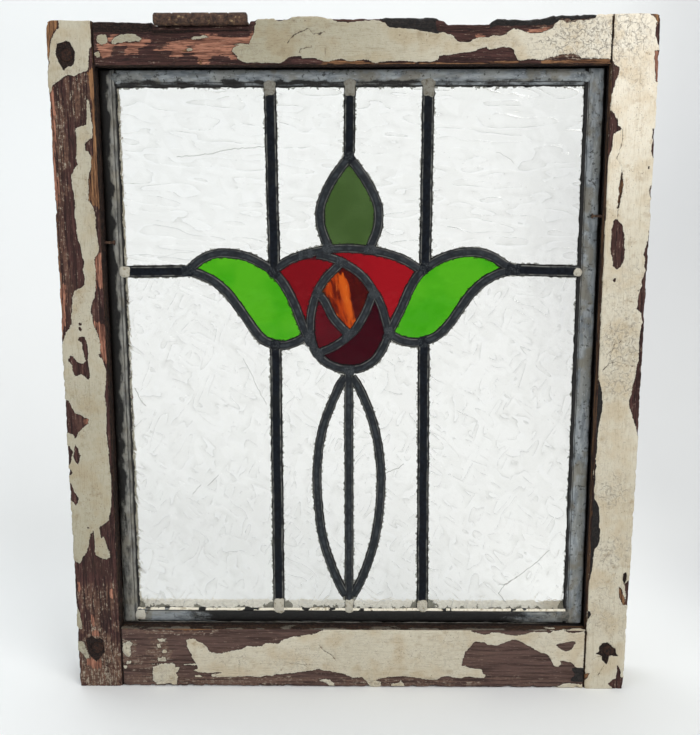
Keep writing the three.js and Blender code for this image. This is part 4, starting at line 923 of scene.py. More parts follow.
def hinge():
    """A pressed butt hinge: barrel of five knuckles along the outer face, one leaf let into the rail."""
    cy, cz, radius = FACE - 1.5, HEIGHT - 0.4, 4.5
    xs = np.linspace(HX0, HX1, 176)
    n = 36
    ang = np.linspace(0, 2 * math.pi, n, endpoint=False)
    cross = np.abs(np.cos(ang)) ** 3.2 + np.abs(np.sin(ang)) ** 3.2
    rings = []
    for x in xs:
        k = (x - HX0) / (HX1 - HX0) * 5
        joint = min(abs(k - round(k)) * (HX1 - HX0) / 5, 9) if 0.3 < k < 4.7 else 9
        dent = 0.75 * math.exp(-(joint / 0.45) ** 2)
        end = min(x - HX0, HX1 - x)
        r = (radius - dent - 1.2 * max(0, 1 - end / 1.2) ** 2) * cross ** (-1 / 3.2)
        r = r * (1 + 0.045 * fbm(x / 6, np.cos(ang) * 2, np.sin(ang) * 2, 3, 75) + 0.02 * noise(x / 1.6, np.cos(ang) * 4, np.sin(ang) * 4, 76)) - 0.1
        rings.append(np.stack([np.full(n, x), cy + r * np.cos(ang) * 0.99, np.clip(cz + r * np.sin(ang), 531.6, 541.6)], 1))
    v = np.concatenate(rings)
    q = grid_faces(len(rings), n, True)
    v = np.concatenate([v, [[HX0, cy, cz], [HX1, cy, cz]]])
    i = np.arange(n)
    last = (len(rings) - 1) * n
    t = np.concatenate([np.stack([np.roll(i, -1), i, np.full(n, len(v) - 2)], 1), np.stack([last + i, last + np.roll(i, -1), np.full(n, len(v) - 1)], 1)])
    # the leaf, a plate with four countersunk screws
    base = len(v)
    px = np.linspace(HX0 + 0.4, HX1 - 0.4, 88)
    py = np.linspace(FACE - 1.0, FACE + 27.8, 38)
    gx, gy = np.meshgrid(px, py, indexing="ij")
    low, high = 534.2, 536.7
    top = high + 0.14 * fbm(gx / 5, gy / 5, 0, 3, 77)
    for sx, sy in ((-139, -9), (-122, 0), (-102.5, 0), (-85.5, -9)):
        d = np.hypot(gx - sx, gy - sy)
        top = top - 0.9 * (1 - smooth(1.8, 3.6, d)) + 0.55 * (1 - smooth(1.0, 2.4, d))
        top = np.where((d < 2.3) & (np.abs((gx - sx) * 0.8 + (gy - sy) * 0.6) < 0.45), top - 0.5, top)
    ring = np.ones(gx.shape, bool)
    edge = np.minimum(np.minimum(gx - px[0], px[-1] - gx), np.minimum(gy - py[0], py[-1] - gy))
    top = top - 0.5 * (1 - smooth(0, 0.9, edge))
    up = np.stack([gx, gy, top], -1).reshape(-1, 3)
    dn = np.stack([gx, gy, np.full(gx.shape, low)], -1).reshape(-1, 3)
    v = np.concatenate([v, up, dn])
    nx, ny = gx.shape
    gq = grid_faces(nx, ny, False)
    q = np.concatenate([q, base + gq, base + nx * ny + gq[:, ::-1]])
    idx = np.arange(nx * ny).reshape(nx, ny)
    border = np.concatenate([idx[:-1, 0], idx[-1, :-1], idx[::-1][:-1, -1], idx[0, ::-1][:-1]])
    b2 = np.roll(border, -1)
    q = np.concatenate([q, np.stack([base + border, base + b2, base + nx * ny + b2, base + nx * ny + border], 1)])
    ob = make_mesh("rusted_hinge", v, q, t)
    outward(ob)
    return ob


place(hinge(), rust, "rusted_iron", "hinge_leaf")
for node in ("glazing_nail_left", "glazing_nail_right"):
    nail = bpy.data.objects[node]
    nail.data.materials.clear()
    nail.data.materials.append(rust)

# ---------------------------------------------------------------- lines of lead
BUD = [(0, 437.2), (5.8, 430), (12.9, 420), (18.4, 410), (22.2, 400), (22.9, 390), (21.2, 380), (16.8, 369)]
LENS = [(2.4, 267), (10.6, 250), (18.6, 230), (23.5, 210), (26, 190), (26.4, 175), (25, 150), (22.2, 130), (17, 110), (9.6, 90), (1, 73)]
LEAF_L_UP = [(-128.5, 349.2), (-122.5, 355), (-115.5, 359.8), (-107, 362.8), (-97, 363.4), (-83, 361), (-70, 355.2), (-59.5, 347.2), (-51.5, 337), (-45, 324), (-39.5, 309.5), (-32.5, 292)]
LEAF_L_LOW = [(-128.5, 349.2), (-118, 346.2), (-107.5, 340.6), (-97, 331), (-87.5, 318.4), (-77.5, 303), (-68.5, 293.4), (-55, 289.9), (-42.5, 293), (-31.5, 300)]
LEAF_R_UP = [(128.5, 350.2), (120, 355.4), (111, 360.9), (101, 363.7), (88, 363.6), (75, 360.4), (63, 354), (53.5, 345.8), (46.5, 334), (40.5, 319.5), (30.6, 299.5)]
LEAF_R_LOW = [(128.5, 350.2), (117, 346.8), (106, 340.8), (95, 330.4), (86, 317.4), (77.5, 305.3), (67.5, 296.3), (53.5, 292), (41, 293.8), (30.8, 299.5)]
SWEEP = [(-35, 362.8), (-24, 361.9), (-12, 358.6), (-2, 353.9), (9, 345.8), (19.6, 331.5), (25.6, 318.5), (30.8, 300)]
BODY = [(-6.5, 355.9), (-18.3, 345), (-26.6, 332), (-31.3, 314), (-31.6, 298), (-28, 285.4), (-20, 276.2), (-10, 271.4), (0, 270.3), (10, 272), (20, 278.6), (27.3, 290), (30.8, 300.4)]
VEE_R = [(20.3, 335), (16.4, 326.5), (10.8, 313.5), (4, 302.6), (-4, 295.2), (-14, 288.5), (-27.2, 282.4)]
VEE_L = [(-26.5, 332.6), (-20.6, 325.6), (-14.4, 313), (-7.6, 304.8), (-0.8, 298.4)]
mirror = lambda shape, axis, side: [(axis + side * w, z) for w, z in shape]
_top = [math.asin((x + 3) / 115) for x in (-58, 54)]
ROSE_TOP = [(-3 + 115 * math.sin(a), 367.2 - 115 * (1 - math.cos(a))) for a in np.linspace(_top[0], _top[1], 12)]
# path, width, the lines its ends run up to
LINES = {
    "came_border_left": ([(-MID, 53.3), (-MID, 502.7)], BORDER, []),
    "came_border_right": ([(MID, 53.3), (MID, 502.7)], BORDER, []),
    "came_border_top": ([(-MID, HIGH), (MID, HIGH)], BORDER, ["came_border_left", "came_border_right"]),
    "came_border_bottom": ([(-MID, LOW), (MID, LOW)], BORDER, ["came_border_left", "came_border_right"]),
    "came_bar_upper_left": ([(-61.4, HIGH), (-60, 348)], BAR, ["came_border_top", "came_leaf_left_upper"]),
    "came_bar_upper_right": ([(60.2, HIGH), (59.2, 352)], BAR, ["came_border_top", "came_leaf_right_upper"]),
    "came_bar_lower_left": ([(-60, 290.4), (-60.6, LOW)], BAR, ["came_border_bottom", "came_leaf_left_lower"]),
    "came_bar_lower_right": ([(58.9, 291), (60.2, LOW)], BAR, ["came_border_bottom", "came_leaf_right_lower"]),
    "came_bar_top_centre": ([(0.2, HIGH), (-0.6, 437.2)], BAR - 0.6, ["came_border_top", "came_bud_left", "came_bud_right"]),
    "came_bar_cross_left": ([(-MID, 348.7), (-127.5, 349.3)], BAR, ["came_border_left", "came_leaf_left_upper", "came_leaf_left_lower"]),
    "came_bar_cross_right": ([(MID, 348.7), (127.5, 350.2)], BAR, ["came_border_right", "came_leaf_right_upper", "came_leaf_right_lower"]),
    "came_bud_left": (mirror(BUD, -0.6, -1), CURVE, ["came_rose_top"]),
    "came_bud_right": (mirror(BUD, -0.6, 1), CURVE, ["came_rose_top"]),
    "came_leaf_left_upper": (LEAF_L_UP, CURVE, ["came_rose_body"]),
    "came_leaf_left_lower": (LEAF_L_LOW, CURVE, ["came_rose_body", "came_leaf_left_upper"]),
    "came_leaf_right_upper": (LEAF_R_UP, CURVE, ["came_rose_sweep", "came_rose_body"]),
    "came_leaf_right_lower": (LEAF_R_LOW, CURVE, ["came_rose_sweep", "came_rose_body", "came_leaf_right_upper"]),
    "came_rose_top": (ROSE_TOP, ROSE, ["came_leaf_left_upper", "came_leaf_right_upper"]),
    "came_rose_sweep": (SWEEP, ROSE, ["came_rose_top"]),
    "came_rose_body": (BODY, ROSE, ["came_rose_sweep"]),
    "came_rose_vee_right": (VEE_R, ROSE, ["came_rose_sweep", "came_rose_body"]),
    "came_rose_vee_left": (VEE_L, ROSE, ["came_rose_body", "came_rose_vee_right"]),
    "came_stem": ([(-1.3, 270), (-1.3, LOW)], CURVE - 0.2, ["came_rose_body", "came_border_bottom"]),
    "came_lens_left": (mirror(LENS, -1.3, -1), CURVE - 0.2, ["came_rose_body", "came_stem"]),
    "came_lens_right": (mirror(LENS, -1.3, 1), CURVE - 0.2, ["came_rose_body", "came_stem"]),
}


def flowing(anchors, step):
    """A smooth line through the anchors, evenly spaced."""
    a = np.array(anchors, float)
    if len(a) == 2:
        dense = a[0] + (a[1] - a[0]) * np.linspace(0, 1, 400)[:, None]
    else:
        e = np.concatenate([[a[0]], a, [a[-1]]])
        parts = []
        for k in range(len(a) - 1):
            p0, p1, p2, p3 = e[k:k + 4]
            t = np.linspace(0, 1, 40, endpoint=False)[:, None]
            parts.append(0.5 * (2 * p1 + (p2 - p0) * t + (2 * p0 - 5 * p1 + 4 * p2 - p3) * t ** 2 + (3 * p1 - p0 - 3 * p2 + p3) * t ** 3))
        dense = np.concatenate(parts + [a[-1:]])
    s = np.concatenate([[0], np.cumsum(np.hypot(*np.diff(dense, axis=0).T))])
    n = max(3, int(round(s[-1] / step)) + 1)
    q = np.linspace(0, s[-1], n)
    return np.stack([np.interp(q, s, dense[:, 0]), np.interp(q, s, dense[:, 1])], 1)


def distance_to(path, q):
    q = np.atleast_2d(q)
    return line_distance(q[:, 0], q[:, 1], path)


PATHS = {}
for _name, (_anchors, _width, _butts) in LINES.items():
    p = flowing(_anchors, 0.6)
    for end in (0, -1):
        best = None
        for b in _butts:
            if b not in PATHS:
                continue
            d = np.hypot(*(PATHS[b] - p[end]).T)
            k = int(d.argmin())
            if d[k] < 6 and (best is None or d[k] < best[0]):
                best = (d[k], PATHS[b][k])
        if best is not None and len(_anchors) > 2:
            run = np.hypot(*(p - p[end]).T)
            fade = np.clip(1 - run / 14, 0, 1)[:, None] ** 2
            p = p + (best[1] - p[end]) * fade
    PATHS[_name] = p

# whitish joints: absolute x, z, radius
PALE = [(-178.7, 348), (176.4, 348), (-183, 63), (-3.0, 69), (58.8, 68.3), (-61.5, 69)]


def came_section(width, border):
    """Half widths (0 to 1), depth and mark of the points round an H of lead; front first."""
    pts_ = []
    if border:
        front = [(-1.0, -9.75, 1.0), (-0.93, -10.15, 0.7), (-0.80, -10.6, 0.1), (-0.62, -10.9, 0), (-0.40, -11.0, 0), (-0.15, -11.03, 0), (0.10, -11.0, 0),
                 (0.32, -10.92, 0), (0.47, -10.7, 0.1), (0.54, -10.15, 0.9), (0.60, -10.1, 1.0), (0.66, -10.45, 0.0), (0.74, -10.52, 0.0), (0.82, -10.45, 0.0), (0.90, -10.1, 0.7), (1.0, -9.75, 1.0)]
    else:
        front = [(s, -11.0 + 1.25 * abs(s) ** 2.6, smooth(0.60, 1.0, abs(s))) for s in (-1.0, -0.94, -0.84, -0.70, -0.5, -0.25, 0, 0.25, 0.5, 0.70, 0.84, 0.94, 1.0)]
    pts_ += [(s, y, m, "f") for s, y, m in front]
    pts_ += [("skr", -9.63, 1.0, "s"), ("web", -9.62, 1.0, "i"), ("web", -6.58, 1.0, "i"), ("skr", -6.57, 1.0, "s")]
    pts_ += [(s, -5.2 - 1.25 * abs(s) ** 3.0, smooth(0.75, 1.0, abs(s)), "b") for s in (1.0, 0.9, 0.62, 0.25, -0.25, -0.62, -0.9, -1.0)]
    pts_ += [("skl", -6.57, 1.0, "s"), ("wbl", -6.58, 1.0, "i"), ("wbl", -9.62, 1.0, "i"), ("skl", -9.63, 1.0, "s")]
    return pts_


def came(name, seed):
    anchors, width, butts = LINES[name]
    border = name.startswith("came_border")
    path = PATHS[name].copy() + np.array([PANEL_X, 0.0])
    half = width / 2
    # ends stop just inside the lead they meet
    keep = np.ones(len(path), bool)
    for b in butts:
        limit = LINES[b][1] / 2 - 1.1
        d = distance_to(PATHS[b] + np.array([PANEL_X, 0.0]), path)
        tail = np.arange(len(path))
        for end in (0, 1):
            order = tail if end == 0 else tail[::-1]
            k = 0
            while k < len(order) - 3 and d[order[k]] < limit:
                keep[order[k]] = False
                k += 1
    path = path[keep]
    step = (1.5 if len(anchors) == 2 else 1.25) * 1
    s = np.concatenate([[0], np.cumsum(np.hypot(*np.diff(path, axis=0).T))])
    n = max(4, int(round(s[-1] / step)) + 1)
    q = np.linspace(0, s[-1], n)
    c = np.stack([np.interp(q, s, path[:, 0]), np.interp(q, s, path[:, 1])], 1)
    tangent = np.gradient(c, axis=0)
    tangent /= np.maximum(np.hypot(*tangent.T), 1e-9)[:, None]
    normal = np.stack([-tangent[:, 1], tangent[:, 0]], 1)
    # sway and uneven width of hand-worked lead
    ends = np.minimum(q, s[-1] - q)
    sway = (0.30 if not border else 0.22) * fbm(q / 24, seed, 0, 2, 81) * smooth(0, 10, ends)
    c = c + normal * sway[:, None]
    left = half * (0.965 + 0.03 * fbm(q / 12, seed, 1, 2, 82))
    right = half * (0.965 + 0.03 * fbm(q / 12, seed, 2, 2, 83))
    # the border's crown is on the side of the wood
    centre_side = 1.0
    if border:
        mid_point = c.mean(0)
        inward = np.array([0 - mid_point[0], 278 - mid_point[1]])
        centre_side = 1.0 if (normal[len(normal) // 2] @ inward) > 0 else -1.0
        if name == "came_border_right":
            # this strip is broader and spreads towards the wood
            spread = 2.4 + 0.6 * fbm(q / 22, seed, 12, 3, 80)
            if centre_side > 0:
                right = right + spread
            else:
                left = left + spread
    sec = came_section(width, border)
    cols = len(sec)
    skirt_r = 0.06 + 0.55 * np.clip(0.22 + 0.9 * fbm(q / 3.2, seed, 3, 3, 84), 0, 1.6)
    skirt_l = 0.06 + 0.55 * np.clip(0.22 + 0.9 * fbm(q / 3.2, seed, 4, 3, 85), 0, 1.6)
    wide_r, wide_l = np.zeros(n), np.zeros(n)
    putty = np.zeros(n)
    if name == "came_border_bottom":
        rise = np.clip(0.1 + 1.8 * fbm(c[:, 0] / 6, 0, 5, 3, 86), 0.05, 1.7) * np.interp(c[:, 0], [-190, -150, 60, 150, 190], [1.0, 0.9, 0.8, 1.05, 1.1])
        for x in (-61.8, 58.7, -2.8):
            rise = rise * (0.4 + 0.6 * smooth(1, 5, np.abs(c[:, 0] - x)))
        if centre_side > 0:
            skirt_r = rise
        else:
            skirt_l = rise
        putty = np.ones(n)
    elif border:
        grow = 0.5 + 0.9 * np.clip(0.4 + fbm(q / 4, seed, 6, 3, 87), 0, 1.5)
        skirt_r, skirt_l = (grow, skirt_l) if centre_side > 0 else (skirt_r, grow)
    verts = np.zeros((n, cols, 3))
    mark, place_s = np.zeros((n, cols)), np.zeros((n, cols))
    kind = np.zeros((n, cols))
    for j, (sx, y, m, part) in enumerate(sec):
        if sx == "skr":
            off = left + skirt_r
        elif sx == "skl":
            off = -(right + skirt_l)
        elif sx == "web":
            off = np.full(n, 0.75)
        elif sx == "wbl":
            off = np.full(n, -0.75)
        else:
            value = sx * (centre_side if border and part == "f" else 1.0)
            off = np.where(value >= 0, left, right) * value
        if name == "came_border_bottom" and y > -8:
            # the strip behind is narrower on the glass side
            if part == "b" and sx * centre_side > 0:
                off = off * 0.55
            elif part == "s" and (sx == "skr") == (centre_side > 0):
                off = off - centre_side * 4.2
        yy = np.full(n, float(y))
        if part == "f":
            yy = yy + (0.16 if border else 0.09) * fbm(q / 9, seed + sx, 7, 3, 88) + (0.05 if border else 0.02) * noise(q / 2.4, seed + sx * 2, 8, 89)
            if border:
                pits = smooth(0.45, 0.75, noise(q / 1.6, seed + sx * 3.1, 9, 90))
                yy = yy + 0.22 * pits * (1 if abs(sx) < 0.5 else 0)
        if part in ("f", "b"):
            yy = yy + (0.18 if part == "f" else -0.18) * (1 - smooth(0, 2.2, ends))
        verts[:, j] = np.stack([c[:, 0] + normal[:, 0] * off, yy, c[:, 1] + normal[:, 1] * off], 1)
        if putty.any() and part == "f" and sx > 0.7:
            kind[:, j] = smooth(-0.42, -0.20, fbm(c[:, 0] / 8, sx, 13, 3, 79))
            yy = yy - 0.5 * (1 if sx < 0.95 else 0.4) * (0.8 + 0.5 * fbm(q / 6, sx, 11, 3, 99))
            verts[:, j, 1] = yy
        mark[:, j] = m
        place_s[:, j] = (sx * (1 if not border else 1)) if not isinstance(sx, str) else 1.2
    if border:
        # the front of a border was listed from the wood side to the glass side
        if centre_side < 0:
            f_ = [j for j, p_ in enumerate(sec) if p_[3] == "f"]
            verts[:, f_] = verts[:, f_[::-1]]
            mark[:, f_] = mark[:, f_[::-1]]
            kind[:, f_] = kind[:, f_[::-1]]
            place_s[:, f_] = place_s[:, f_[::-1]]
    v = verts.reshape(-1, 3)
    quads = grid_faces(n, cols, True)
    # blunt ends
    tris = []
    fronts = [j for j, p_ in enumerate(sec) if p_[3] == "f"]
    add_v, add_m, add_k, add_s = [], [], [], []
    for row in (0, n - 1):
        centre = verts[row].mean(0)
        centre[1] = -8.1
        idx = len(v) + len(add_v)
        add_v.append(centre)
        add_m.append(1.0)
        add_k.append(0.0)
        add_s.append(0.0)
        r = row * cols + np.arange(cols)
        tris.append(np.stack([r, np.roll(r, -1), np.full(cols, idx)], 1))
    v = np.concatenate([v, add_v])
    end_fade = np.repeat(smooth(0.9, 2.6, ends), cols)
    data = {"end": np.concatenate([end_fade, np.zeros(len(add_v))]), "mark": np.concatenate([mark.ravel(), add_m]), "putty": np.concatenate([kind.ravel(), add_k]), "across": np.concatenate([place_s.ravel(), add_s]), "solder_and_sheen": np.zeros(len(v))}
    return v, quads, np.concatenate(tris), data, cols


def solder(px, pz, seed, size=1.0, pale=0.0):
    """A flat uneven dome of solder over a joint, kept to the strips of lead that meet there."""
    n, rings = 44, (0.001, 0.3, 0.55, 0.75, 0.9, 1.0)
    ang = np.linspace(0, 2 * math.pi, n, endpoint=False)
    reach = np.full(n, 0.0)
    r_max = 6.2 * size * (1 + 0.25 * fbm(np.cos(ang) * 1.3, np.sin(ang) * 1.3, seed, 2, 91))
    rr = np.arange(0.6, 9.0, 0.4)
    spots = np.stack([px + np.cos(ang)[:, None] * rr, pz + np.sin(ang)[:, None] * rr], -1)
    inside = np.zeros((n, len(rr)), bool)
    for name, path in PATHS.items():
        own = path + np.array([PANEL_X, 0.0])
        own = own[np.hypot(own[:, 0] - px, own[:, 1] - pz) < 16]
        if not len(own):
            continue
        d = np.sqrt(((spots[:, :, None, :] - own[None, None]) ** 2).sum(-1)).min(-1)
        inside |= d < LINES[name][1] / 2 - (0.2 if not name.startswith("came_border") else 1.6)
    for k in range(n):
        good = inside[k] & (rr < r_max[k])
        stop = len(rr) if good.all() else int(np.argmin(good))
        reach[k] = max(1.2, rr[stop - 1] if stop > 0 else 1.2)
    reach = (reach + np.roll(reach, 1) + np.roll(reach, -1)) / 3
    v, solder_and_sheen = [], []
    for s in rings:
        h = 0.72 * math.cos(s * math.pi / 2) ** 0.8 if s < 1 else -0.25
        bumpy = 0.10 * fbm(np.cos(ang) * s * 3, np.sin(ang) * s * 3, seed + 2, 2, 92)
        edge_drop = np.clip(reach / 5.5, 0, 1)
        v.append(np.stack([px + np.cos(ang) * reach * s, LEAD_FRONT + 0.16 - h - bumpy + 0.15 * s, pz + np.sin(ang) * reach * s], 1))
        # the solder's own colour, strongest at the top of the dome as a painted highlight
        solder_and_sheen.append(np.full(n, 1.0 - 0.4 * s))
    under = v[-1].copy()
    under[:, 1] = LEAD_FRONT + 1.3
    under[:, 0] = px + (under[:, 0] - px) * 0.9
    under[:, 2] = pz + (under[:, 2] - pz) * 0.9
    v.append(under)
    solder_and_sheen.append(np.full(n, 0.3))
    rows = len(v)
    v = np.concatenate(v + [np.array([[px, LEAD_FRONT + 1.4, pz]])])
    i = np.arange(n)
    q = grid_faces(rows, n, True)
    t = np.stack([(rows - 1) * n + i, (rows - 1) * n + np.roll(i, -1), np.full(n, rows * n)], 1)
    b = np.concatenate(solder_and_sheen + [np.zeros(1)])
    return v, q, t, {"end": np.ones(len(v)), "mark": np.zeros(len(v)), "putty": np.full(len(v), pale), "across": np.zeros(len(v)), "solder_and_sheen": 0.25 + 0.55 * b}


def joints():
    """Spots where an end meets another line, each with the line that carries its solder."""
    found = []
    for name, (anchors, width, butts) in LINES.items():
        p = PATHS[name] + np.array([PANEL_X, 0.0])
        for end in (0, -1):
            for b in butts:
                d = np.hypot(*(PATHS[b] + np.array([PANEL_X, 0.0]) - p[end]).T)
                if d.min() < 8:
                    spot = (PATHS[b] + np.array([PANEL_X, 0.0]))[int(d.argmin())]
                    if b == "came_border_bottom":
                        spot = np.array([spot[0], LOW + 8.6])
                    elif b == "came_border_top":
                        spot = np.array([spot[0], HIGH - 7.5])
                    elif b == "came_border_left":
                        spot = np.array([-179.5, spot[1]])
                    elif b == "came_border_right":
                        spot = np.array([177.0, spot[1]])
                    if all(math.dist(spot, f_[1]) > 5.5 for f_ in found):
                        found.append((name, spot))
    return found


def lead_material(name, border, slate=False, level=False):
    T = Tree(name)
    mm = T.coord((1000, 1000, 1000))
    fine, mid, broad = T.noise(mm, 1.2, 3, 0.6), T.noise(mm, 0.36, 3, 0.6), T.noise(mm, 0.05, 3, 0.55)
    mark, putty, solder_and_sheen = T.attr("mark").outputs["Fac"], T.attr("putty").outputs["Fac"], T.attr("solder_and_sheen").outputs["Fac"]
    tone_and_shade = T.attr("tone_and_shade").outputs["Fac"]
    across = T.attr("across").outputs["Fac"]
    if border:
        drawn = T.coord((260, 1000, 1000) if level else (1000, 1000, 260))
        long_n = T.noise(drawn, 0.30, 3, 0.6)
        col = T.mix(T.ramp(long_n, 0.36, 0.64), srgb(116, 123, 128), srgb(160, 166, 169))
        col = T.mix(T.ramp(T.noise(drawn, 0.10, 3, 0.6), 0.46, 0.60, 0, 0.6), col, srgb(140, 140, 132))
        # painted highlight: fine pale streaks drawn along the strip
        col = T.mix(T.ramp(T.noise(drawn, 0.9, 2, 0.6), 0.60, 0.72, 0, 0.55), col, srgb(198, 201, 199))
        col = T.mix(T.ramp(T.noise(mm, 0.33, 4, 0.7), 0.36, 0.43, 0.8, 0), col, srgb(40, 39, 37))
        col = T.mix(T.ramp(broad, 0.52, 0.62, 0, 0.6), col, srgb(122, 114, 96))
        if not level:
            # the left strip is browner
            left = T.ramp(T.split(T.coord((1, 1, 1)))[0], -0.15, -0.16)
            col = T.mix(T.math("MULTIPLY", left, 0.65), col, T.mix(T.ramp(long_n, 0.38, 0.62), srgb(84, 78, 68), srgb(146, 141, 128)))
        # darker where the per-vertex tone is low: soot on the left strip, a dark middle on the bottom strip, and
        # painted shade on the glass side of the top strip, along both edges of the right strip and at the ends of the
        # level strips
        soot = T.math("ADD", tone_and_shade, T.math("ADD", T.math("MULTIPLY", T.math("SUBTRACT", long_n, 0.5), 0.9), T.math("MULTIPLY", T.math("SUBTRACT", fine, 0.5), 0.5)))
        col = T.mix(T.ramp(soot, 0.62, 0.22), col, T.mix(T.ramp(fine, 0.45, 0.62), srgb(9, 8, 8), srgb(40, 34, 28)))
        col = T.mix(T.math("MULTIPLY", T.math("SUBTRACT", 1.0, tone_and_shade), 0.7), col, srgb(10, 9, 9))
    elif slate:
        col = T.mix(T.ramp(mid, 0.40, 0.62), srgb(15, 19, 25), srgb(27, 32, 38))
        # painted highlight along the crown of the lead
        crown_highlight = T.ramp(T.math("ABSOLUTE", across), 0.55, 0.06)
        col = T.mix(T.math("MULTIPLY", crown_highlight, T.ramp(T.noise(mm, 0.14, 3, 0.6), 0.44, 0.62, 0.05, 0.42)), col, srgb(72, 78, 82))
        col = T.mix(T.ramp(fine, 0.63, 0.73, 0, 0.35), col, srgb(104, 106, 105))
    else:
        col = T.mix(T.ramp(mid, 0.40, 0.62), srgb(10, 13, 20), srgb(20, 25, 33))
        col = T.mix(T.ramp(broad, 0.54, 0.68, 0, 0.5), col, srgb(27, 28, 29))
        col = T.mix(T.ramp(fine, 0.62, 0.72, 0, 0.3), col, srgb(60, 64, 66))
    # solder is paler than the lead, and paler again towards the top of each dome as a painted highlight
    solder_c = T.mix(T.ramp(fine, 0.46, 0.60), srgb(30, 34, 38), srgb(84, 88, 90))
    col = T.mix(T.math("MULTIPLY", solder_and_sheen, T.ramp(mid, 0.40, 0.60, 0.15, 0.8)), col, solder_c)
    grime = T.mix(T.ramp(fine, 0.44, 0.64), srgb(9, 8, 8), srgb(30, 26, 22))
    edge_shade_and_grime = T.math("MULTIPLY", T.ramp(T.math("ADD", mark, T.math("MULTIPLY", T.math("SUBTRACT", fine, 0.5), 0.4)), 0.72, 0.92), 0.95)
    if not border:
        # a thin paler line near each edge of the lead, a painted highlight
        lead_edge_highlight = T.math("MULTIPLY", T.ramp(mark, 0.02, 0.30), T.ramp(mark, 0.80, 0.45))
        broken = T.ramp(T.noise(mm, 0.16, 3, 0.6), 0.38, 0.60, 0.15, 0.85)
        col = T.mix(T.math("MULTIPLY", T.math("MULTIPLY", lead_edge_highlight, broken), 0.62 if slate else 0.85), col, srgb(134, 134, 128))
    col = T.mix(edge_shade_and_grime, col, grime)
    cream = T.mix(T.ramp(mid, 0.30, 0.50), srgb(176, 162, 132), srgb(236, 229, 210))
    cream = T.mix(T.ramp(fine, 0.32, 0.40, 0.5, 0), cream, srgb(96, 82, 62))
    cream = T.mix(T.ramp(fine, 0.58, 0.66, 0, 0.7), cream, srgb(250, 247, 236))
    col = T.mix(T.ramp(putty, 0.35, 0.5), col, cream)
    T.bump(T.math("ADD", fine, T.math("MULTIPLY", mid, 0.8)), 0.0004, 0.35)
    return T.set(base=col, rough=T.ramp(mid, 0.3, 0.7, 0.34 if not border else 0.42, 0.52 if not border else 0.62), spec=0.26 if slate else 0.11 if not border else 0.38)


dark_lead, slate_lead = lead_material("dark_lead_came", False), lead_material("slate_lead_came", False, slate=True)
upright_lead, level_lead = lead_material("weathered_lead_upright", True), lead_material("weathered_lead_level", True, level=True)
blobs = {}
for k, (owner, spot) in enumerate(joints()):
    blobs.setdefault(owner, []).append((spot, k))
for k, name in enumerate(LINES):
    v, quads, tris, data, cols = came(name, k * 3.7 + 1)
    border = name.startswith("came_border")
    parts_q, parts_t = [quads], [tris]
    for spot, j in blobs.get(name, []):
        pale = 0.0
        for x, z in PALE:
            if math.dist((x, z), spot) < 8:
                pale = 0.435
        if spot[1] > HIGH - 9 and abs(spot[0]) < 80:
            pale = 0.40
        sv, sq, st, sd = solder(spot[0], spot[1], j + 11, (1.0 + 0.18 * math.sin(j * 2.3)) * (0.72 if abs(spot[0]) > 150 and spot[1] > 300 else 1.0), pale)
        parts_q.append(sq + len(v))
        parts_t.append(st + len(v))
        v = np.concatenate([v, sv])
        data = {key: np.concatenate([data[key], sd[key]]) for key in data}
    x, z = v[:, 0], v[:, 2]
    out = data["across"]
    if name == "came_border_left":
        # soot and old varnish over the half next to the wood
        foul = smooth(0.42, -0.12, out + 0.5 * fbm(z / 9, out, 0, 3, 95))
        tone_and_shade = (0.80 + 0.16 * fbm(z / 22, 0, 0, 3, 96)) * (1 - 0.86 * foul * np.interp(z, [50, 110, 180, 330, 503], [0.25, 0.45, 0.9, 1.0, 1.0]))
    elif name == "came_border_top":
        # painted shade: darker towards the glass side
        tone_and_shade = 0.86 + 0.34 * fbm(x / 13, out * 2, 0, 3, 95) - 0.55 * smooth(0.10, 0.45, out + 0.3 * fbm(x / 7, 0, 2, 3, 94)) + 0.12 * smooth(-40, 60, x)
    elif name == "came_border_right":
        tone_and_shade = np.interp(z, [50, 260, 380, 503], [0.88, 0.80, 0.68, 0.66]) + 0.16 * fbm(z / 26, out, 0, 3, 96)
        # painted shade: both edges darkened, in the gap beside the wood and along the glass
        tone_and_shade = tone_and_shade - 0.6 * smooth(-0.80, -0.98, out) - 0.6 * smooth(0.64, 0.78, out)
    elif name == "came_border_bottom":
        tone_and_shade = np.interp(x, [-186, -150, -122, -100, 118, 146, 186], [0.80, 0.66, 0.30, 0.03, 0.03, 0.5, 0.75]) + 0.16 * fbm(x / 14, out, 0, 3, 97)
        tone_and_shade = np.maximum(tone_and_shade, 0.5 * smooth(-0.72, -0.9, out) * smooth(0.0, 0.3, fbm(x / 16, 0, 7, 3, 98) + 0.1))
    else:
        tone_and_shade = np.ones(len(v))
    # painted shade: the level strips go almost black at their ends, in the gap where they meet the upright strips
    if name in ("came_border_top", "came_border_bottom"):
        tone_and_shade = tone_and_shade * (0.15 + 0.85 * data["end"])
    data.pop("end")
    data["tone_and_shade"] = np.clip(tone_and_shade, 0, 1)
    ob = make_mesh("lead_" + name, v, np.concatenate(parts_q), np.concatenate(parts_t), attributes=data)
    outward(ob)
    skin = (level_lead if name in ("came_border_top", "came_border_bottom") else upright_lead) if border else dark_lead if name.startswith("came_bar") else slate_lead
    place(ob, skin, "weathered_lead" if border else "dark_lead", name)

# ---------------------------------------------------------------- glass
rng = np.random.default_rng(41)
FIELD_X0, FIELD_Z0, FIELD_STEP = -200.0, 45.0, 0.5
FIELD = np.zeros((930, 800))
CREASE_SHADE = np.zeros(FIELD.shape)


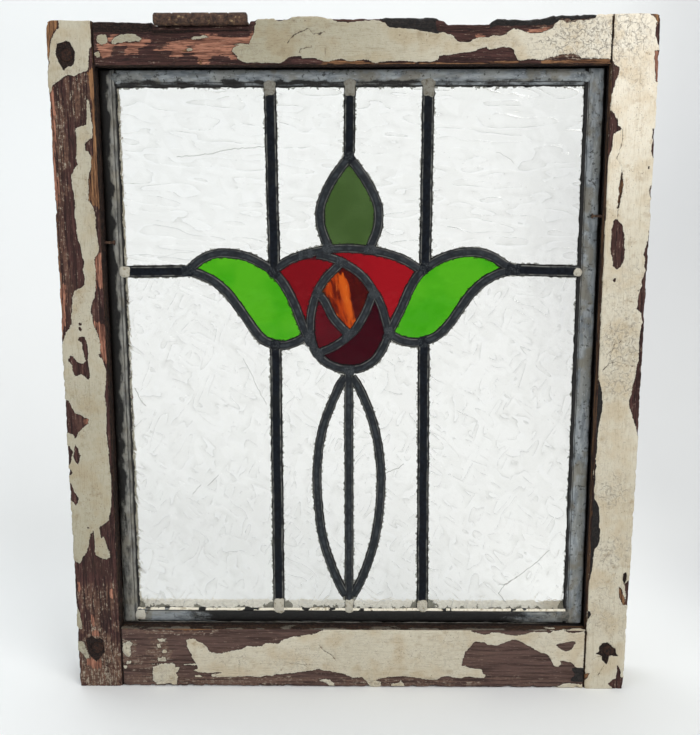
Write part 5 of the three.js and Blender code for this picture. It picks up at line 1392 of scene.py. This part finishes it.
def stroke(x, z, angle, length, width, height, crease_shade):
    """One pressed stroke: a sharp side and a sloping side, both tapering to the ends."""
    reach = length / 2 + width
    i0, i1 = int((z - reach - FIELD_Z0) / FIELD_STEP), int((z + reach - FIELD_Z0) / FIELD_STEP) + 1
    j0, j1 = int((x - reach - FIELD_X0) / FIELD_STEP), int((x + reach - FIELD_X0) / FIELD_STEP) + 1
    i0, j0, i1, j1 = max(i0, 0), max(j0, 0), min(i1, FIELD.shape[0]), min(j1, FIELD.shape[1])
    if i1 <= i0 or j1 <= j0:
        return
    zz, xx = np.meshgrid(FIELD_Z0 + np.arange(i0, i1) * FIELD_STEP - z, FIELD_X0 + np.arange(j0, j1) * FIELD_STEP - x, indexing="ij")
    ca, sa = math.cos(angle), math.sin(angle)
    a = xx * ca + zz * sa
    b = -xx * sa + zz * ca + 0.06 * a * a / length
    end = np.clip(1 - np.abs(2 * a / length) ** 2.2, 0, 1)
    side = np.where(b > 0, np.clip(1 - b / width, 0, 1), np.clip(1 + b / (0.22 * width), 0, 1))
    FIELD[i0:i1, j0:j1] += height * end * side
    # painted shade along the sharp side of each stroke
    CREASE_SHADE[i0:i1, j0:j1] = np.maximum(CREASE_SHADE[i0:i1, j0:j1], crease_shade * end * np.clip(1 - np.abs(b + 0.1 * width) / 0.62, 0, 1))


for k in range(6800):
    x, z = rng.uniform(-188, 186), rng.uniform(54, 502)
    lower = z < 345
    length = rng.uniform(4.0, 12.0)
    stroke(x, z, rng.uniform(0, math.pi), length, rng.uniform(1.3, 3.2), rng.choice([-1, 1]) * rng.uniform(0.05, 0.17), rng.uniform(0.1, 1.0) ** 1.6 * (1.0 if lower else 0.62))


def sample(field, x, z):
    fx = np.clip((x - FIELD_X0) / FIELD_STEP, 0, field.shape[1] - 1.001)
    fz = np.clip((z - FIELD_Z0) / FIELD_STEP, 0, field.shape[0] - 1.001)
    i, j = fz.astype(int), fx.astype(int)
    a, b = fz - i, fx - j
    return field[i, j] * (1 - a) * (1 - b) + field[i + 1, j] * a * (1 - b) + field[i, j + 1] * (1 - a) * b + field[i + 1, j + 1] * a * b


TREES = {}
for _name, (_a, _w, _b) in LINES.items():
    TREES.setdefault((round(_w / 2, 3), _name.startswith("came_border")), []).append(PATHS[_name] + np.array([PANEL_X, 0.0]))
for _key, _paths in list(TREES.items()):
    _all = np.concatenate(_paths)
    _tree = KDTree(len(_all))
    for _i, (_x, _z) in enumerate(_all):
        _tree.insert((_x, _z, 0), _i)
    _tree.balance()
    TREES[_key] = _tree


def lead_distance(x, z):
    """Distance in mm from spots of the panel to the edge of the nearest lead, and whether that lead is the border."""
    best, kind = np.full(len(x), 1e9), np.zeros(len(x), bool)
    for (half, border), tree in TREES.items():
        d = np.array([tree.find((float(a), float(b), 0))[2] for a, b in zip(x, z)]) - half
        kind = np.where(d < best, border, kind)
        best = np.minimum(best, d)
    return best, kind


CRACKS = [
    (0.30, "-134.8,437.9 -121,438.6 -107.5,440.3 -100,442.6 -93.4,443.7 -77.3,444.3 -64,445.8"),
    (0.16, "-177,361.5 -165,362.8 -150,360.8 -138,363.6 -126,364.2"),
    (0.34, "-176,254 -173.4,249 -172,244 -168.6,240.6"),
    (0.24, "-88,279 -83,270 -79.5,261.5 -74,250 -69.3,241.5"),
    (0.30, "-132,166 -125.5,172.5"),
    (0.26, "-119,172.6 -110.8,180.8"),
    (0.32, "27,183.6 33,186.4 38,187.6 41.6,191"),
    (0.34, "163.6,117 151,105 139,95 127,86.4 122.6,79.4 128,72"),
    (0.24, "139,95 130,88 123,86.6"),
    (0.22, "112,441 119,437.6 125,432.6"),
]
CRACK_LINES = []
for _k, (_width, _text) in enumerate(CRACKS):
    _p = pts(_text)
    _s = np.concatenate([[0], np.cumsum(np.hypot(*np.diff(_p, axis=0).T))])
    _q = np.linspace(0, _s[-1], max(4, int(_s[-1] / 0.8)))
    _c = np.stack([np.interp(_q, _s, _p[:, 0]), np.interp(_q, _s, _p[:, 1])], 1)
    _t = np.gradient(_c, axis=0)
    _t /= np.hypot(*_t.T)[:, None]
    _n = np.stack([-_t[:, 1], _t[:, 0]], 1)
    _c = _c + _n * (0.7 * fbm(_q / 3.0, _k, 0, 3, 111))[:, None]
    CRACK_LINES.append((_width, _c, _n))


def front_loop(node):
    """Outline of a pane of the frame, in order, in millimetres."""
    ob = bpy.data.objects[node]
    me = ob.data
    co = np.array([list(v.co) for v in me.vertices]) * 1000
    co[:, 1] -= SHIFT_Y
    key = {}
    weld = np.zeros(len(co), int)
    for i, p in enumerate(co):
        k = (round(p[0], 3), round(p[1], 3), round(p[2], 3))
        weld[i] = key.setdefault(k, i)
    count = {}
    for poly in me.polygons:
        vs = [int(weld[i]) for i in poly.vertices]
        if any(abs(co[i][1] - GLASS_FRONT) > 0.05 for i in vs):
            continue
        for a, b in zip(vs, vs[1:] + vs[:1]):
            if (b, a) in count:
                del count[(b, a)]
            else:
                count[(a, b)] = True
    follow = {a: b for a, b in count}
    start = next(iter(follow))
    loop, cur = [start], follow[start]
    while cur != start:
        loop.append(cur)
        cur = follow[cur]
    p = co[loop][:, [0, 2]]
    return p


def spaced(loop, step):
    out = []
    for a, b in zip(loop, np.roll(loop, -1, 0)):
        n = max(1, int(round(np.hypot(*(b - a)) / step)))
        for k in range(n):
            out.append(a + (b - a) * k / n)
    return np.array(out)


def pane(node, kind):
    loop = front_loop(node)
    clear = kind == "clear"
    step = (1.62 if clear else 1.7) * 1
    ring = spaced(loop, step)
    lo, hi = loop.min(0), loop.max(0)
    xs = np.arange(lo[0], hi[0], step)
    zs = np.arange(lo[1], hi[1], step * 0.866)
    gx, gz = np.meshgrid(xs, zs)
    gx = gx + (np.arange(len(zs)) % 2)[:, None] * step / 2
    gx = gx + step * 0.16 * noise(gx * 3.1, gz * 2.7, 0, 101)
    gz = gz + step * 0.16 * noise(gx * 2.3, gz * 3.3, 4, 102)
    gx, gz = gx.ravel(), gz.ravel()
    inside = polygon_distance_full(gx, gz, loop) > step * 0.55
    if clear:
        for width, line, side in CRACK_LINES:
            inside &= line_distance(gx, gz, line) > 1.1
    gx, gz = gx[inside], gz[inside]
    if clear:
        for width, line, side in CRACK_LINES:
            for off in (-0.55, 0.0, 0.55):
                p = line + side * off
                p = p[polygon_distance_full(p[:, 0], p[:, 1], loop) > 0.9]
                gx, gz = np.concatenate([gx, p[:, 0]]), np.concatenate([gz, p[:, 1]])
    points = [Vector((float(a), float(b))) for a, b in ring] + [Vector((float(a), float(b))) for a, b in zip(gx, gz)]
    n = len(ring)
    res = delaunay_2d_cdt(points, [(i, (i + 1) % n) for i in range(n)], [], 1, 1e-5)
    v2 = np.array([list(p) for p in res[0]])
    tri = np.array([list(f_) for f_ in res[2]], int)
    e = np.array([list(x) for x in res[1]], int)
    # back: one flat fan of the same outline, triangulated without inner points
    flat = delaunay_2d_cdt([Vector((float(a), float(b))) for a, b in ring], [(i, (i + 1) % n) for i in range(n)], [], 1, 1e-5)
    vb = np.array([list(p) for p in flat[0]])
    tb = np.array([list(f_) for f_ in flat[2]], int)
    x, z = v2[:, 0], v2[:, 1]
    edge = polygon_distance_full(x, z, loop)
    fade = smooth(0.0, 2.5, edge)
    if clear:
        quiet = 0.35 if "lens" in node else 1.0
        strokes = sample(FIELD, x, z) * quiet
        y = GLASS_FRONT - strokes * fade - 0.05 * fbm(x / 12, z / 12, 0, 2, 103) * fade
        crease_shade = sample(CREASE_SHADE, x, z) * quiet
    else:
        y = GLASS_FRONT - (0.16 * fbm(x / 14, z / 14, len(node), 3, 104) + 0.05 * fbm(x / 3, z / 3, len(node), 2, 105)) * fade
        crease_shade = np.zeros(len(x))
    crack = np.zeros(len(x))
    if clear:
        for width, line, side in CRACK_LINES:
            crack = np.maximum(crack, (1 - smooth(0.05, 0.5, line_distance(x, z, line))) * min(1.0, width / 0.32))
        y = y + 0.10 * crack
    # dirt gathered along the lead
    lead_edge, near_border = lead_distance(x, z)
    ragged = fbm(x / 2.4, z / 2.4, 0, 3, 107)
    reach = np.where(near_border, np.where(z < 80, -0.3, 0.8), 0.4) + np.where(near_border, np.where(z < 80, 4.6, 3.0), 1.3) * ragged
    grime = 1 - smooth(-0.2, 0.9, lead_edge - reach)
    corner = np.full(len(x), 0.0)
    if clear:
        for cx, cz in ((-187.5 + 6, 496), (184, 496), (-181, 66), (178, 66), (-66, 66), (-57, 66), (54, 66), (64, 66)):
            d = np.hypot(x - cx, z - cz)
            corner = np.maximum(corner, 1 - smooth(3.5, 9.5, d + 3 * fbm(x / 4, z / 4, 2, 3, 108)))
        foot = 1 - smooth(0.5, 4.5, z - 66 + 3.5 * fbm(x / 3.5, z / 3.5, 1, 3, 109))
        corner = np.maximum(corner, 0.9 * foot * smooth(0.10, 0.30, fbm(x / 5, 0, 3, 3, 110)))
    grime = np.clip(np.maximum(grime * 0.8, corner), 0, 1)
    front = np.stack([x, y, z], 1)
    back = np.stack([vb[:, 0], np.full(len(vb), GLASS_BACK), vb[:, 1]], 1)
    # walls between the two outlines
    at = {k: i for i, own in enumerate(res[3]) for k in own}
    bt = {k: i for i, own in enumerate(flat[3]) for k in own}
    fi = [at[k] for k in range(n)]
    bi = [bt[k] + len(front) for k in range(n)]
    quads = np.array([[fi[k], fi[(k + 1) % n], bi[(k + 1) % n], bi[k]] for k in range(n)])
    verts = np.concatenate([front, back])
    zero = np.zeros(len(back))
    data = {"crease_shade": np.concatenate([crease_shade, zero]), "grime": np.concatenate([grime, zero]), "crack": np.concatenate([crack, zero])}
    ob = make_mesh("pane_" + node, verts, quads, np.concatenate([tri, tb + len(front)]), attributes=data)
    outward(ob)
    n_tri = len(tri)
    soft = np.zeros(len(ob.data.polygons), bool)
    soft[len(quads):len(quads) + n_tri] = True
    ob.data.polygons.foreach_set("use_smooth", soft)
    ob.data.update()
    return ob


def polygon_distance_full(px, pz, poly):
    best = np.full(px.shape, 1e9)
    inside = np.zeros(px.shape, bool)
    for (ax, az), (bx, bz) in zip(poly, np.roll(poly, -1, 0)):
        dx, dz = bx - ax, bz - az
        t = np.clip(((px - ax) * dx + (pz - az) * dz) / max(dx * dx + dz * dz, 1e-9), 0, 1)
        best = np.minimum(best, (px - ax - t * dx) ** 2 + (pz - az - t * dz) ** 2)
        if az != bz:
            inside ^= ((az > pz) != (bz > pz)) & (px < (bx - ax) * (pz - az) / (bz - az) + ax)
    return np.where(inside, 1, -1) * np.sqrt(best)


HEART_LEFT, HEART_RIGHT = 62.0, 98.0


def glass_material(name, kind):
    T = Tree(name)
    mm = T.coord((1000, 0, 1000))
    fine, mid, broad = T.noise(mm, 0.9, 3, 0.6), T.noise(mm, 0.22, 3, 0.55), T.noise(mm, 0.03, 2, 0.5)
    grime, crease_shade, crack = (T.attr(k).outputs["Fac"] for k in ("grime", "crease_shade", "crack"))
    specks = T.ramp(T.noise(mm, 0.75, 1, 0.5), 0.735, 0.765)
    if kind == "clear":
        # pressed strokes in painted shade and painted highlight: a sharp dark side and a slope that brightens away from
        # it, turned differently from patch to patch
        zz = T.split(T.coord((1, 1, 1)))[2]
        upper = T.ramp(zz, 0.325, 0.365)
        sel = T.ramp(T.noise(mm, 0.055, 2, 0.5), 0.46, 0.54)
        saws = []
        for angle, stretch, scale, levels in ((0.95, 0.42, 0.082, 5.0), (-0.45, 0.42, 0.082, 5.0), (1.50, 0.30, 0.088, 5.0)):
            n_ = T.noise(T.warp(T.slanted(angle, stretch * 0.85), 1.9, 0.13), scale, 1, 0.4)
            saw = T.math("FRACT", T.math("MULTIPLY", n_, levels))
            saws.append((T.math("MAXIMUM", T.ramp(saw, 0.0, 0.10, 1, 0), T.ramp(saw, 0.0, 0.45, 0.38, 0)), T.ramp(saw, 0.62, 1.0)))
        strong = T.ramp(T.noise(mm, 0.085, 3, 0.6), 0.40, 0.58, 0.10, 1.0)
        dark = T.mixf(upper, T.mixf(sel, saws[0][0], saws[1][0]), T.math("MULTIPLY", saws[2][0], 0.85))
        pale = T.mixf(upper, T.mixf(sel, saws[0][1], saws[1][1]), saws[2][1])
        t1 = T.cell_tone(T.warp(T.slanted(0.5, 0.62), 7.0, 0.07), 0.10)
        col = T.mix(T.ramp(t1, 0.25, 0.75), (0.955, 0.95, 0.93), (0.99, 0.985, 0.968))
        col = T.mix(T.ramp(mid, 0.42, 0.70, 0, 0.25), col, (0.93, 0.925, 0.905))
        # painted shade on the sharp sides and painted highlight on the slopes of the strokes
        col = T.mix(T.math("MULTIPLY", T.math("MULTIPLY", dark, strong), 0.50), col, (0.60, 0.595, 0.56))
        col = T.mix(T.math("MULTIPLY", T.math("MULTIPLY", pale, strong), 0.6), col, (1.0, 1.0, 0.995))
        # painted shade along each crease
        col = T.mix(T.ramp(crease_shade, 0.15, 0.85, 0, 0.30), col, (0.66, 0.655, 0.63))
        col = T.mix(T.math("MULTIPLY", specks, 0.6), col, (0.30, 0.29, 0.25))
        rough, ior, spec = 0.06, 1.45, 0.5
    elif kind == "bud":
        col = T.mix(T.ramp(broad, 0.40, 0.60), srgb(64, 88, 42), srgb(72, 96, 50))
        col = T.mix(T.math("MULTIPLY", specks, 0.5), col, srgb(120, 128, 90))
        rough, ior, spec = 0.10, 1.25, 0.1
    elif kind == "leaf":
        col = T.mix(T.ramp(broad, 0.40, 0.60), srgb(66, 168, 8), srgb(84, 178, 22))
        col = T.mix(T.math("MULTIPLY", specks, 0.55), col, srgb(24, 62, 10))
        rough, ior, spec = 0.08, 1.3, 0.1
    elif kind == "red":
        col = T.mix(T.ramp(T.split(T.coord((1, 1, 1)))[0], -0.03, 0.03), srgb(126, 8, 20), srgb(158, 14, 26))
        rough, ior, spec = 0.08, 1.25, 0.1
    elif kind == "red_deep":
        col = T.mix(T.ramp(broad, 0.38, 0.64), srgb(84, 4, 18), srgb(98, 8, 24))
        rough, ior, spec = 0.08, 1.25, 0.1
    elif kind == "maroon":
        col = T.mix(T.ramp(broad, 0.38, 0.64), srgb(44, 0, 12), srgb(58, 2, 16))
        rough, ior, spec = 0.08, 1.2, 0.1
    else:
        # broad streaks of orange and maroon drawn down the pane, leaning a little to the right at the foot
        drawn = T.warp(T.slanted(0.26, 0.26), 2.4, 0.12)
        streak, streak2 = T.noise(drawn, 0.16, 2, 0.45, 0.0), T.noise(drawn, 0.42, 2, 0.5, 0.0)
        lean = T.ramp(T.split(T.slanted(0.26, 1.0))[0], HEART_LEFT, HEART_RIGHT, 0, 1, "LINEAR")
        mixed = T.math("ADD", streak, T.math("MULTIPLY", T.math("SUBTRACT", streak2, 0.5), 0.55))
        col = T.mix(T.ramp(mixed, 0.34, 0.60), srgb(98, 20, 5), srgb(172, 58, 9))
        crest = T.math("MULTIPLY", T.ramp(lean, 0.34, 0.50), T.ramp(lean, 0.66, 0.52))
        col = T.mix(T.math("MULTIPLY", crest, T.ramp(mixed, 0.44, 0.60, 0.15, 0.9)), col, srgb(212, 94, 22))
        col = T.mix(T.ramp(streak2, 0.60, 0.70, 0, 0.35), col, srgb(224, 136, 60))
        wine = T.ramp(T.math("ADD", lean, T.math("MULTIPLY", T.math("SUBTRACT", mixed, 0.5), -0.7)), 0.49, 0.60)
        col = T.mix(T.math("MULTIPLY", wine, 0.93), col, srgb(64, 2, 6))
        rough, ior, spec = 0.12, 1.25, 0.1
    ragged = T.math("ADD", grime, T.math("ADD", T.math("MULTIPLY", T.math("SUBTRACT", fine, 0.5), 0.9), T.math("MULTIPLY", T.math("SUBTRACT", T.noise(mm, 0.5, 3, 0.6), 0.5), 0.7)))
    dirt = T.math("MULTIPLY", T.ramp(ragged, 0.46, 0.66), T.ramp(grime, 0.04, 0.3, 0, 0.95), clamp=True)
    col = T.mix(dirt, col, (0.045, 0.045, 0.028) if kind == "clear" else (0.02, 0.02, 0.015))
    if kind == "clear":
        col = T.mix(T.ramp(crack, 0.15, 0.85, 0, 0.92), col, (0.13, 0.125, 0.10))
    if kind == "clear":
        T.bump(T.math("ADD", T.math("MULTIPLY", T.math("MULTIPLY", T.math("SUBTRACT", pale, dark), strong), 0.6), T.math("MULTIPLY", mid, 0.4)), 0.0008, 0.5)
    else:
        T.bump(T.math("ADD", T.math("MULTIPLY", fine, 0.2), mid), 0.0003, 0.15)
    T.set(base=col, rough=rough, trans=1.0, ior=ior, spec=spec)
    return T.material


PANES = {
    "glass_upper_left": "clear", "glass_upper_mid_left": "clear", "glass_upper_mid_right": "clear", "glass_upper_right": "clear",
    "glass_lower_left": "clear", "glass_lower_mid_left": "clear", "glass_lower_mid_right": "clear", "glass_lower_right": "clear",
    "glass_lens_left": "clear", "glass_lens_right": "clear", "glass_bud": "bud", "glass_leaf_left": "leaf", "glass_leaf_right": "leaf",
    "glass_petal_outer_left": "red", "glass_petal_outer_right": "red", "glass_rose_heart": "amber",
    "glass_petal_inner_left": "red_deep", "glass_petal_lower": "maroon",
}
SLOTS = {"clear": "clear_glass", "bud": "olive_glass", "leaf": "green_glass", "red": "red_glass", "red_deep": "red_glass", "maroon": "maroon_glass", "amber": "amber_glass"}
GLASS = {kind: glass_material("glass_" + kind, kind) for kind in SLOTS}
for node, kind in PANES.items():
    place(pane(node, kind), GLASS[kind], SLOTS[kind], node)

# ---------------------------------------------------------------- stage, light, camera
prof = [(-3.0, 0.0), (-1.5, 0.0), (0.0, 0.0), (0.5, 0.0)]
for k in range(1, 25):
    a = k / 24 * math.pi / 2
    prof.append((0.5 + 0.7 * math.sin(a), 0.7 - 0.7 * math.cos(a)))
prof += [(1.2, 1.6), (1.2, 3.2)]
me = bpy.data.meshes.new("studio_sweep")
me.from_pydata([(x, y, z) for y, z in prof for x in (-3.5, 3.5)], [], [(2 * k, 2 * k + 1, 2 * k + 3, 2 * k + 2) for k in range(len(prof) - 1)])
for poly in me.polygons:
    poly.use_smooth = True
sweep = bpy.data.objects.new("studio_sweep", me)
bpy.context.scene.collection.objects.link(sweep)
T = Tree("backdrop_with_painted_shade")
n = T.t.nodes.new("ShaderNodeSeparateXYZ")
T.t.links.new(T.tex.outputs["Object"], n.inputs[0])
m1 = T.noise(T.coord((1, 1, 1)), 3.0, 2, 0.5)
# painted light falloff across the backdrop: a gentle rise to x = 0.3 m, then darker beyond x = 0.47 m
col = T.mix(T.ramp(n.outputs[0], -0.5, 0.3), (0.865, 0.885, 0.885), (0.905, 0.92, 0.915))
col = T.mix(T.ramp(n.outputs[0], 0.47, 0.66), col, (0.775, 0.785, 0.79))
# painted shadow of the sash on the floor and wall to its lower right
col = T.mix(T.math("MULTIPLY", T.ramp(n.outputs[0], 0.24, 0.46), T.math("MULTIPLY", T.ramp(n.outputs[2], 0.75, 0.10), T.ramp(n.outputs[1], -0.12, 0.25))), col, (0.60, 0.61, 0.62))
# painted shade low on the wall and curve behind the sash
col = T.mix(T.math("MULTIPLY", T.ramp(n.outputs[2], 0.55, 0.05, 0, 0.6), T.ramp(n.outputs[1], 0.12, 0.4)), col, (0.79, 0.795, 0.785))
col = T.mix(T.ramp(m1, 0.4, 0.6, 0, 0.06), col, (0.8, 0.8, 0.8))
T.bump(T.noise(T.coord((1, 1, 1)), 60.0, 2, 0.5), 0.0004, 0.1)
me.materials.append(T.set(base=col, rough=T.ramp(m1, 0.3, 0.7, 0.85, 0.92), spec=0.2))

world = bpy.data.worlds.new("studio")
bpy.context.scene.world = world
world.use_nodes = True
world.node_tree.nodes["Background"].inputs[0].default_value = (0.96, 0.98, 1.0, 1)
world.node_tree.nodes["Background"].inputs[1].default_value = 0.45


def softbox(name, at, target, size, power, colour=(1, 1, 1)):
    light = bpy.data.lights.new(name, "AREA")
    light.shape = "RECTANGLE"
    light.size, light.size_y = size
    light.energy = power
    light.color = colour
    ob = bpy.data.objects.new(name, light)
    bpy.context.scene.collection.objects.link(ob)
    ob.location = at
    ob.rotation_mode = "QUATERNION"
    ob.rotation_quaternion = (Vector(target) - Vector(at)).to_track_quat("-Z", "Y")
    return ob


softbox("key", (1.15, -1.5, 1.75), (0.05, 0, 0.3), (1.3, 1.3), 28, (1, 0.985, 0.96))
softbox("fill", (-1.6, -1.2, 0.9), (0, 0, 0.28), (1.4, 1.4), 7, (0.95, 0.98, 1))
softbox("back", (-0.5, 0.35, 2.0), (-0.1, 0.95, 0.35), (1.8, 0.9), 13.6, (0.99, 0.99, 1))

camera = bpy.data.cameras.new("camera")
camera.sensor_width, camera.sensor_fit, camera.lens = 36.0, "HORIZONTAL", 48.857
camera.clip_start, camera.clip_end = 0.05, 20
cam = bpy.data.objects.new("camera", camera)
bpy.context.scene.collection.objects.link(cam)
yaw, pitch, roll = -0.0140, 0.1791, -0.0019
fwd = Vector((math.sin(yaw) * math.cos(pitch), math.cos(yaw) * math.cos(pitch), -math.sin(pitch)))
right = Vector((math.cos(yaw), -math.sin(yaw), 0))
up = right.cross(fwd)
r2 = right * math.cos(roll) + up * math.sin(roll)
u2 = up * math.cos(roll) - right * math.sin(roll)
cam.matrix_world = Matrix(((r2.x, u2.x, -fwd.x, 0.008769), (r2.y, u2.y, -fwd.y, -0.75889), (r2.z, u2.z, -fwd.z, 0.40802), (0, 0, 0, 1)))
bpy.context.scene.camera = cam
bpy.context.scene.view_settings.view_transform = "Standard"
bpy.context.scene.view_settings.look = "None"
